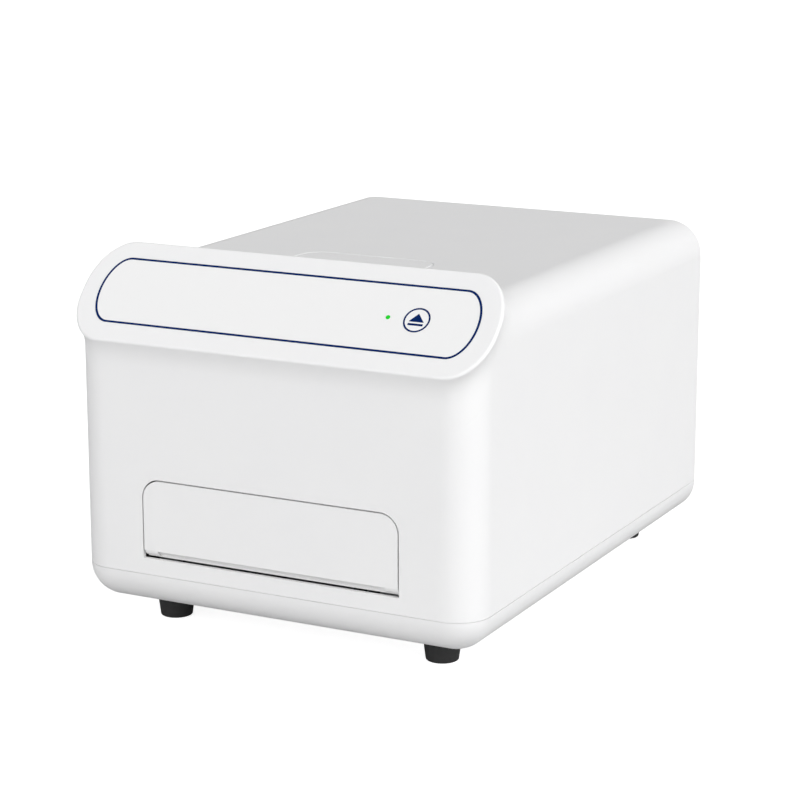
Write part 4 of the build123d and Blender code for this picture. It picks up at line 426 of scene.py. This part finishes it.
def screw_tree():
    """Geometry Nodes that set a pan-head screw with a cross recess on every point."""
    tree = bpy.data.node_groups.new("cross_head_screws", "GeometryNodeTree")
    tree.interface.new_socket("Geometry", in_out="OUTPUT", socket_type="NodeSocketGeometry")
    tree.interface.new_socket("Places", in_out="INPUT", socket_type="NodeSocketGeometry")
    for name in ("Head Radius", "Head Height", "Dome Radius", "Shank Radius", "Shank Length",
                 "Recess Length", "Recess Width", "Recess Depth"):
        tree.interface.new_socket(name, in_out="INPUT", socket_type="NodeSocketFloat")
    tree.interface.new_socket("Outward", in_out="INPUT", socket_type="NodeSocketVector")
    tree.interface.new_socket("Seed", in_out="INPUT", socket_type="NodeSocketInt")
    tree.interface.new_socket("Finish", in_out="INPUT", socket_type="NodeSocketMaterial")
    given = add_node(tree, "NodeGroupInput").outputs

    half_height = add_node(tree, "ShaderNodeMath", {"operation": "MULTIPLY", 1: 0.5},
                           {0: given["Head Height"]})
    head_middle = add_node(tree, "ShaderNodeCombineXYZ", links={2: half_height.outputs[0]})
    cylinder = add_node(tree, "GeometryNodeMeshCylinder", {"Vertices": head_corners},
                        {"Radius": given["Head Radius"], "Depth": given["Head Height"]})
    cylinder = add_node(tree, "GeometryNodeTransform", links={
        "Geometry": cylinder.outputs["Mesh"], "Translation": head_middle.outputs[0]})
    dome_middle = add_node(tree, "ShaderNodeMath", {"operation": "SUBTRACT"},
                           {0: given["Head Height"], 1: given["Dome Radius"]})
    dome_middle = add_node(tree, "ShaderNodeCombineXYZ", links={2: dome_middle.outputs[0]})
    dome = add_node(tree, "GeometryNodeMeshUVSphere", {"Segments": head_corners, "Rings": dome_rings},
                    {"Radius": given["Dome Radius"]})
    dome = add_node(tree, "GeometryNodeTransform", links={
        "Geometry": dome.outputs["Mesh"], "Translation": dome_middle.outputs[0]})
    head = add_node(tree, "GeometryNodeMeshBoolean", {"operation": "INTERSECT"})
    tree.links.new(cylinder.outputs[0], head.inputs["Mesh 2"])
    tree.links.new(dome.outputs[0], head.inputs["Mesh 2"])

    overlap = add_node(tree, "ShaderNodeMath", {"operation": "ADD"},
                       {0: given["Shank Length"], 1: half_height.outputs[0]})
    sunk = add_node(tree, "ShaderNodeMath", {"operation": "SUBTRACT"},
                    {0: half_height.outputs[0], 1: given["Shank Length"]})
    sunk = add_node(tree, "ShaderNodeMath", {"operation": "MULTIPLY", 1: 0.5}, {0: sunk.outputs[0]})
    shank_middle = add_node(tree, "ShaderNodeCombineXYZ", links={2: sunk.outputs[0]})
    shank = add_node(tree, "GeometryNodeMeshCylinder", {"Vertices": shank_corners},
                     {"Radius": given["Shank Radius"], "Depth": overlap.outputs[0]})
    shank = add_node(tree, "GeometryNodeTransform", links={
        "Geometry": shank.outputs["Mesh"], "Translation": shank_middle.outputs[0]})
    whole = add_node(tree, "GeometryNodeMeshBoolean", {"operation": "UNION"})
    tree.links.new(head.outputs["Mesh"], whole.inputs["Mesh 2"])
    tree.links.new(shank.outputs[0], whole.inputs["Mesh 2"])

    double_depth = add_node(tree, "ShaderNodeMath", {"operation": "MULTIPLY", 1: 2.0},
                            {0: given["Recess Depth"]})
    slot_size = add_node(tree, "ShaderNodeCombineXYZ", links={
        0: given["Recess Length"], 1: given["Recess Width"], 2: double_depth.outputs[0]})
    slot = add_node(tree, "GeometryNodeMeshCube", links={"Size": slot_size.outputs[0]})
    head_top = add_node(tree, "ShaderNodeCombineXYZ", links={2: given["Head Height"]})
    screw = whole
    for turn in (0.0, math.pi / 2):
        cut = add_node(tree, "GeometryNodeTransform", {"Rotation": (0, 0, turn)}, {
            "Geometry": slot.outputs["Mesh"], "Translation": head_top.outputs[0]})
        left = add_node(tree, "GeometryNodeMeshBoolean", {"operation": "DIFFERENCE"})
        tree.links.new(screw.outputs["Mesh"], left.inputs["Mesh 1"])
        tree.links.new(cut.outputs[0], left.inputs["Mesh 2"])
        screw = left

    upright = add_node(tree, "FunctionNodeAlignRotationToVector", {"axis": "Z"},
                       {"Vector": given["Outward"]})
    angle = add_node(tree, "FunctionNodeRandomValue", {"data_type": "FLOAT", 3: math.pi / 2},
                     {"Seed": given["Seed"]})
    turned = add_node(tree, "FunctionNodeAxisAngleToRotation", {"Axis": (0, 0, 1)},
                      {"Angle": angle.outputs[1]})
    facing = add_node(tree, "FunctionNodeRotateRotation", {"rotation_space": "LOCAL"},
                      {0: upright.outputs[0], 1: turned.outputs[0]})
    set_out = add_node(tree, "GeometryNodeInstanceOnPoints", links={
        "Points": given["Places"], "Instance": screw.outputs["Mesh"], "Rotation": facing.outputs[0]})
    real = add_node(tree, "GeometryNodeRealizeInstances", links={"Geometry": set_out.outputs[0]})
    painted = add_node(tree, "GeometryNodeSetMaterial", links={
        "Geometry": real.outputs[0], "Material": given["Finish"]})
    add_node(tree, "NodeGroupOutput", links={0: painted.outputs[0]})
    return tree


def separate_solids(node):
    """The corner points of each solid of a CAD node, from a merged copy of its mesh."""
    merged = bmesh.new()
    merged.from_mesh(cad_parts[node].data)
    bmesh.ops.remove_doubles(merged, verts=merged.verts, dist=weld_gap)
    left, solids = set(merged.verts), []
    while left:
        waiting, solid = [left.pop()], []
        while waiting:
            corner = waiting.pop()
            solid.append(corner.co.copy())
            for edge in corner.link_edges:
                other = edge.other_vert(corner)
                if other in left:
                    left.remove(other)
                    waiting.append(other)
        solids.append(solid)
    merged.free()
    return solids


def grown_mesh(name, points, tree, values):
    """The plain mesh that a Geometry Nodes tree makes from points and named input values."""
    seeds = bpy.data.meshes.new(name)
    seeds.from_pydata(points, [], [])
    grower = bpy.data.objects.new(name, seeds)
    bpy.context.scene.collection.objects.link(grower)
    modifier = grower.modifiers.new("grow", "NODES")
    modifier.node_group = tree
    for item in tree.interface.items_tree:
        if item.in_out == "INPUT" and item.name in values:
            modifier[item.identifier] = values[item.name]
    made = bpy.data.meshes.new_from_object(grower.evaluated_get(bpy.context.evaluated_depsgraph_get()))
    bpy.data.objects.remove(grower)
    return made


def seated_screws(node, outward, seed):
    """Puts cross-head screws in the places of a CAD node's plain ones, size for size."""
    kinds = {}
    for solid in separate_solids(node):
        heights = [point.dot(outward) for point in solid]
        tip, top = min(heights), max(heights)
        tip_ring = [point for point, height in zip(solid, heights) if height < tip + level_tolerance]
        middle = sum(tip_ring, Vector()) / len(tip_ring)
        radii = [(point - middle - outward * (height - tip)).length
                 for point, height in zip(solid, heights)]
        shank = max((point - middle).length for point in tip_ring)
        seat = min(height for height, radius in zip(heights, radii) if radius > shank + head_step)
        size = tuple(round(value / mm, 2) for value in (max(radii), top - seat, shank, seat - tip))
        kinds.setdefault(size, []).append(middle + outward * (seat - tip))
    joined = bmesh.new()
    for size, places in kinds.items():
        head, height, shank, length = [value * mm for value in size]
        rim = rim_share * height
        values = {
            "Head Radius": head, "Head Height": height, "Shank Radius": shank, "Shank Length": length,
            "Dome Radius": (head ** 2 + (height - rim) ** 2) / (2 * (height - rim)),
            "Recess Length": recess_length_share * head, "Recess Width": recess_width_share * head,
            "Recess Depth": recess_depth_share * height,
            "Outward": outward, "Seed": seed, "Finish": zinc_plate,
        }
        joined.from_mesh(grown_mesh(node, places, cross_head_screws, values))
    mesh = bpy.data.meshes.new(node)
    joined.to_mesh(mesh)
    joined.free()
    screws = new_piece("cross_" + node, mesh, zinc_plate, "instrument")
    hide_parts(node)


cross_head_screws = screw_tree()
seated_screws("rear_panel_screws", Vector((0, 1, 0)), 3)
seated_screws("foot_screws", Vector((0, 0, -1)), 5)
seated_screws("base_screws", Vector((0, 0, -1)), 7)
seated_screws("deck_screws", Vector((0, 0, 1)), 11)
seated_screws("keypad_screws", -face_normal, 13)


# ---------------------------------------------------------------------------
# Rods, shafts and pins
# Hardened steel, centreless ground and polished, with faint rings left by the wheel.
# ---------------------------------------------------------------------------

grinding_ring = 1.2 * mm

ground_steel, tree, shader, place = new_material("centreless_ground_steel")
shader.inputs["Metallic"].default_value = 1.0
shader.inputs["Base Color"].default_value = linear("#d2d5d8")
rings = add_node(tree, "ShaderNodeTexNoise", {"Scale": 1 / grinding_ring}, {"Vector": place})
polish = add_node(tree, "ShaderNodeMapRange", {"To Min": 0.12, "To Max": 0.28}, {"Value": rings.outputs[0]})
tree.links.new(polish.outputs[0], shader.inputs["Roughness"])
finish_nodes(ground_steel, "guide_rods", "drive_shaft", "idler_pin", "wheel_shaft", "door_hinge_pins",
             "guide_ferrule")


# ---------------------------------------------------------------------------
# Chassis, brackets, power supply cage and data socket shield
# Galvanised sheet steel, cut and bent: a dull grey with soft crystal flowers in the zinc.
# ---------------------------------------------------------------------------

zinc_flower = 7 * mm

galvanised_sheet, tree, shader, place = new_material("galvanised_sheet_steel")
shader.inputs["Metallic"].default_value = 1.0
flowers = add_node(tree, "ShaderNodeTexVoronoi", {"Scale": 1 / zinc_flower}, {"Vector": place})
shade = add_node(tree, "ShaderNodeSeparateColor", links={0: flowers.outputs["Color"]})
tint = add_node(tree, "ShaderNodeMix", {"data_type": "RGBA", 6: linear("#b9bdc1"), 7: linear("#a4a9ae")},
                {0: shade.outputs[0]})
dulled = add_node(tree, "ShaderNodeMapRange", {"To Min": 0.38, "To Max": 0.52}, {"Value": shade.outputs[1]})
tree.links.new(tint.outputs[2], shader.inputs["Base Color"])
tree.links.new(dulled.outputs[0], shader.inputs["Roughness"])
finish_nodes(galvanised_sheet, "chassis_plate", "idler_bracket", "tray_motor_bracket", "detector_bracket",
             "filter_motor_bracket", "power_supply", "usb_port")


# ---------------------------------------------------------------------------
# Rear panel
# Folded steel with a light grey powder coat, which dries with a faint orange peel.
# ---------------------------------------------------------------------------

orange_peel = 1.4 * mm
peel_depth = 0.015 * mm

powder_coat, tree, shader, place = new_material("grey_powder_coated_steel")
shader.inputs["Base Color"].default_value = linear("#dededf")
peel = add_node(tree, "ShaderNodeTexNoise", {"Scale": 1 / orange_peel}, {"Vector": place})
bump = add_node(tree, "ShaderNodeBump", {"Distance": peel_depth}, {"Height": peel.outputs[0]})
satin = add_node(tree, "ShaderNodeMapRange", {"To Min": 0.46, "To Max": 0.58}, {"Value": peel.outputs[0]})
tree.links.new(bump.outputs[0], shader.inputs["Normal"])
tree.links.new(satin.outputs[0], shader.inputs["Roughness"])
finish_nodes(powder_coat, "rear_panel")


# ---------------------------------------------------------------------------
# Milled and turned aluminium parts
# Bare aluminium, milled flat or turned, so a fine lay of tool marks runs across it.
# ---------------------------------------------------------------------------

tool_mark = 0.5 * mm
mark_length = 12.0

milled_aluminium, tree, shader, place = new_material("milled_aluminium")
shader.inputs["Metallic"].default_value = 1.0
shader.inputs["Base Color"].default_value = linear("#d9dbdd")
lay = add_node(tree, "ShaderNodeMapping", {"Scale": (1.0, 1 / mark_length, 1.0)}, {"Vector": place})
marks = add_node(tree, "ShaderNodeTexNoise", {"Scale": 1 / tool_mark}, {"Vector": lay.outputs[0]})
cut = add_node(tree, "ShaderNodeMapRange", {"To Min": 0.26, "To Max": 0.44}, {"Value": marks.outputs[0]})
tree.links.new(cut.outputs[0], shader.inputs["Roughness"])
finish_nodes(milled_aluminium, "optics_deck", "deck_posts", "rod_supports", "belt_clamp", "drive_pulley",
             "idler_pulley", "lamp_housing", "guide_bracket", "board_standoffs")


# ---------------------------------------------------------------------------
# Tray, lens manifold, barrels, filter wheel and lens tube
# Aluminium, bead blasted and anodised black, so that no stray light comes back from it.
# The blasted pits are drawn coarser than the real ones.
# ---------------------------------------------------------------------------

blast_pit = 0.35 * mm
blast_depth = 0.006 * mm

black_anodised, tree, shader, place = new_material("black_anodised_aluminium")
shader.inputs["Metallic"].default_value = 1.0
pits = add_node(tree, "ShaderNodeTexNoise", {"Scale": 1 / blast_pit}, {"Vector": place})
bump = add_node(tree, "ShaderNodeBump", {"Distance": blast_depth}, {"Height": pits.outputs[0]})
tint = add_node(tree, "ShaderNodeMix", {"data_type": "RGBA", 6: linear("#38393c"), 7: linear("#2b2c2f")},
                {0: pits.outputs[0]})
dulled = add_node(tree, "ShaderNodeMapRange", {"To Min": 0.42, "To Max": 0.54}, {"Value": pits.outputs[0]})
tree.links.new(bump.outputs[0], shader.inputs["Normal"])
tree.links.new(tint.outputs[2], shader.inputs["Base Color"])
tree.links.new(dulled.outputs[0], shader.inputs["Roughness"])
finish_nodes(black_anodised, "plate_carrier", "lens_manifold", "lens_barrels", "filter_wheel", "lens_tube")


# ---------------------------------------------------------------------------
# Door bearings
# Dark grey acetal blocks, moulded with a faint flow pattern and a waxy sheen.
# ---------------------------------------------------------------------------

flow_mark = 2.5 * mm

acetal, tree, shader, place = new_material("dark_grey_acetal")
shader.inputs["Base Color"].default_value = linear("#3d3e41")
shader.inputs["IOR"].default_value = 1.48
flow = add_node(tree, "ShaderNodeTexNoise", {"Scale": 1 / flow_mark}, {"Vector": place})
waxy = add_node(tree, "ShaderNodeMapRange", {"To Min": 0.28, "To Max": 0.40}, {"Value": flow.outputs[0]})
tree.links.new(waxy.outputs[0], shader.inputs["Roughness"])
finish_nodes(acetal, "door_hinge_blocks")


# ---------------------------------------------------------------------------
# Tray bushings
# Sintered bronze, pressed from powder, whose open grain holds oil and darkens it. The
# grain is drawn coarser than the real one.
# ---------------------------------------------------------------------------

bronze_pore = 0.25 * mm

bronze, tree, shader, place = new_material("sintered_bronze")
shader.inputs["Metallic"].default_value = 1.0
pores = add_node(tree, "ShaderNodeTexNoise", {"Scale": 1 / bronze_pore}, {"Vector": place})
tint = add_node(tree, "ShaderNodeMix", {"data_type": "RGBA", 6: linear("#c09458"), 7: linear("#8f6a3a")},
                {0: pores.outputs[0]})
dulled = add_node(tree, "ShaderNodeMapRange", {"To Min": 0.42, "To Max": 0.60}, {"Value": pores.outputs[0]})
tree.links.new(tint.outputs[2], shader.inputs["Base Color"])
tree.links.new(dulled.outputs[0], shader.inputs["Roughness"])
finish_nodes(bronze, "carrier_bushings")


# ---------------------------------------------------------------------------
# Toothed belt
# Black neoprene with glass cords inside, chalky and matt. Its teeth face inwards; here
# it is a plain band without them.
# ---------------------------------------------------------------------------

neoprene_grain = 0.3 * mm

neoprene, tree, shader, place = new_material("black_neoprene")
shader.inputs["Base Color"].default_value = linear("#1e1e20")
weave = add_node(tree, "ShaderNodeTexNoise", {"Scale": 1 / neoprene_grain}, {"Vector": place})
matt = add_node(tree, "ShaderNodeMapRange", {"To Min": 0.70, "To Max": 0.90}, {"Value": weave.outputs[0]})
tree.links.new(matt.outputs[0], shader.inputs["Roughness"])
finish_nodes(neoprene, "timing_belt")


# ---------------------------------------------------------------------------
# Light guide
# A fibre bundle in an extruded black PVC sheath, smooth along its length.
# ---------------------------------------------------------------------------

extrusion_wave = 4 * mm

sheath, tree, shader, place = new_material("extruded_black_pvc")
shader.inputs["Base Color"].default_value = linear("#1a1a1c")
wave = add_node(tree, "ShaderNodeTexNoise", {"Scale": 1 / extrusion_wave}, {"Vector": place})
sleek = add_node(tree, "ShaderNodeMapRange", {"To Min": 0.32, "To Max": 0.46}, {"Value": wave.outputs[0]})
tree.links.new(sleek.outputs[0], shader.inputs["Roughness"])
finish_nodes(sheath, "light_guide")


# ---------------------------------------------------------------------------
# Lamp
# A fused quartz bulb, clear and glossy, cemented into a matt white ceramic base.
# ---------------------------------------------------------------------------

ceramic_length = 9.0 * mm

lamp_quartz, tree, shader, place = new_material("fused_quartz_and_ceramic")
shader.inputs["Base Color"].default_value = linear("#efeeea")
shader.inputs["IOR"].default_value = 1.46
lamp_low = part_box("lamp")[0]
lamp_place = add_node(tree, "ShaderNodeSeparateXYZ", links={0: place})
is_bulb = add_node(tree, "ShaderNodeMath", {"operation": "GREATER_THAN", 1: lamp_low.y + ceramic_length},
                   {0: lamp_place.outputs["Y"]})
smooth = add_node(tree, "ShaderNodeMapRange", {"To Min": 0.6, "To Max": 0.05}, {"Value": is_bulb.outputs[0]})
tree.links.new(is_bulb.outputs[0], shader.inputs["Transmission Weight"])
tree.links.new(smooth.outputs[0], shader.inputs["Roughness"])
finish_nodes(lamp_quartz, "lamp")


# ---------------------------------------------------------------------------
# Condenser lens
# Borosilicate crown glass, ground and polished clear.
# ---------------------------------------------------------------------------

lens_glass, tree, shader, place = new_material("polished_crown_glass")
shader.inputs["Base Color"].default_value = linear("#f4f7f8")
shader.inputs["IOR"].default_value = 1.52
shader.inputs["Roughness"].default_value = 0.02
shader.inputs["Transmission Weight"].default_value = 1.0
finish_nodes(lens_glass, "condenser_lens")


# ---------------------------------------------------------------------------
# Optical filters
# Glass discs with a vacuum-laid coating, a different one in each place of the wheel, so
# that the colour goes from violet to crimson round it.
# ---------------------------------------------------------------------------

filter_glass, tree, shader, place = new_material("coated_filter_glass")
shader.inputs["IOR"].default_value = 1.52
shader.inputs["Roughness"].default_value = 0.06
shader.inputs["Transmission Weight"].default_value = 0.6
wheel_low, wheel_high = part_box("filter_wheel")
centred = add_node(tree, "ShaderNodeVectorMath", {"operation": "SUBTRACT", 1: (wheel_low + wheel_high) / 2},
                   {0: place})
spoke = add_node(tree, "ShaderNodeSeparateXYZ", links={0: centred.outputs[0]})
bearing = add_node(tree, "ShaderNodeMath", {"operation": "ARCTAN2"},
                   {0: spoke.outputs["Z"], 1: spoke.outputs["X"]})
share = add_node(tree, "ShaderNodeMapRange", {"From Min": -math.pi, "From Max": math.pi},
                 {"Value": bearing.outputs[0]})
coating = add_node(tree, "ShaderNodeMix", {"data_type": "RGBA", 6: linear("#5a3f9e"), 7: linear("#a0405c")},
                   {0: share.outputs[0]})
tree.links.new(coating.outputs[2], shader.inputs["Base Color"])
finish_nodes(filter_glass, "optical_filters")


# ---------------------------------------------------------------------------
# Circuit boards
# Glass-epoxy laminate under green solder mask, with copper tracks as lighter lines,
# drawn coarser than real ones. Chips and headers on the main board are black epoxy.
# ---------------------------------------------------------------------------

track_pitch = 5 * mm
track_spacing = 0.12
track_edge = 0.08
laminate_top = 1.65 * mm

solder_mask, tree, shader, place = new_material("green_solder_mask")
board_place = add_node(tree, "ShaderNodeSeparateXYZ", links={0: place})
main_low, main_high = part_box("main_board")
above = add_node(tree, "ShaderNodeMath", {"operation": "GREATER_THAN", 1: main_low.z + laminate_top},
                 {0: board_place.outputs["Z"]})
below_roof = add_node(tree, "ShaderNodeMath", {"operation": "LESS_THAN", 1: main_high.z + laminate_top},
                      {0: board_place.outputs["Z"]})
is_chip = add_node(tree, "ShaderNodeMath", {"operation": "MULTIPLY"},
                   {0: above.outputs[0], 1: below_roof.outputs[0]})
cells = add_node(tree, "ShaderNodeTexVoronoi", {"distance": "MANHATTAN", "Scale": 1 / track_pitch},
                 {"Vector": place})
ridge = add_node(tree, "ShaderNodeMath", {"operation": "PINGPONG", 1: track_spacing},
                 {0: cells.outputs["Distance"]})
is_track = add_node(tree, "ShaderNodeMath", {"operation": "GREATER_THAN", 1: track_edge},
                    {0: ridge.outputs[0]})
mask = add_node(tree, "ShaderNodeMix", {"data_type": "RGBA", 6: linear("#0c4a26"), 7: linear("#176b3d")},
                {0: is_track.outputs[0]})
tint = add_node(tree, "ShaderNodeMix", {"data_type": "RGBA", 7: linear("#161617")},
                {0: is_chip.outputs[0], 6: mask.outputs[2]})
sheen = add_node(tree, "ShaderNodeMapRange", {"To Min": 0.28, "To Max": 0.55}, {"Value": is_chip.outputs[0]})
tree.links.new(tint.outputs[2], shader.inputs["Base Color"])
tree.links.new(sheen.outputs[0], shader.inputs["Roughness"])
finish_nodes(solder_mask, "main_board", "detector_board", "keypad_board")


# ---------------------------------------------------------------------------
# Photodiodes
# Small cans of nickel-plated steel, drawn and bright, soldered to the detector board.
# ---------------------------------------------------------------------------

draw_line = 0.8 * mm

nickel_can, tree, shader, place = new_material("nickel_plated_can")
shader.inputs["Metallic"].default_value = 1.0
shader.inputs["Base Color"].default_value = linear("#cbc8c2")
drawn = add_node(tree, "ShaderNodeTexNoise", {"Scale": 1 / draw_line}, {"Vector": place})
bright = add_node(tree, "ShaderNodeMapRange", {"To Min": 0.20, "To Max": 0.34}, {"Value": drawn.outputs[0]})
tree.links.new(bright.outputs[0], shader.inputs["Roughness"])
finish_nodes(nickel_can, "photodiodes")


# ---------------------------------------------------------------------------
# Motors, fan, sockets and switches
# Black glass-filled nylon and lacquer, slightly rough from the fibres near the skin.
# ---------------------------------------------------------------------------

fibre_length = 0.6 * mm
fibre_depth = 0.008 * mm

black_nylon, tree, shader, place = new_material("black_glass_filled_nylon")
shader.inputs["IOR"].default_value = 1.53
fibres = add_node(tree, "ShaderNodeTexNoise", {"Scale": 1 / fibre_length}, {"Vector": place})
bump = add_node(tree, "ShaderNodeBump", {"Distance": fibre_depth}, {"Height": fibres.outputs[0]})
tint = add_node(tree, "ShaderNodeMix", {"data_type": "RGBA", 6: linear("#19191a"), 7: linear("#222224")},
                {0: fibres.outputs[0]})
dulled = add_node(tree, "ShaderNodeMapRange", {"To Min": 0.40, "To Max": 0.52}, {"Value": fibres.outputs[0]})
tree.links.new(bump.outputs[0], shader.inputs["Normal"])
tree.links.new(tint.outputs[2], shader.inputs["Base Color"])
tree.links.new(dulled.outputs[0], shader.inputs["Roughness"])
finish_nodes(black_nylon, "tray_motor", "filter_motor", "fan_frame", "fan_rotor", "power_inlet",
             "rocker_frame", "power_rocker", "key_switch")


# ---------------------------------------------------------------------------
# Contacts of the mains inlet
# Three flat brass blades, nickel plated, moulded into the nylon body of the inlet.
# ---------------------------------------------------------------------------

plating_cloud = 1.0 * mm
blade_pitch = 7.0 * mm
blade_half_thickness = 1.05 * mm
blade_half_width = 2.05 * mm

blade_metal, tree, shader, place = new_material("nickel_plated_brass")
shader.inputs["Metallic"].default_value = 1.0
shader.inputs["Base Color"].default_value = linear("#d2cdc0")
plating = add_node(tree, "ShaderNodeTexNoise", {"Scale": 1 / plating_cloud}, {"Vector": place})
bright = add_node(tree, "ShaderNodeMapRange", {"To Min": 0.18, "To Max": 0.30}, {"Value": plating.outputs[0]})
tree.links.new(bright.outputs[0], shader.inputs["Roughness"])

inlet_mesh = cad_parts["power_inlet"].data
inlet_mesh.materials.append(blade_metal)
inlet_low, inlet_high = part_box("power_inlet")
inlet_middle = (inlet_low + inlet_high) / 2
for polygon in inlet_mesh.polygons:
    across = abs(polygon.center.x - inlet_middle.x)
    from_blade = min(across, abs(across - blade_pitch))
    from_level = abs(polygon.center.z - inlet_middle.z)
    if from_blade < blade_half_thickness and from_level < blade_half_width:
        polygon.material_index = 1
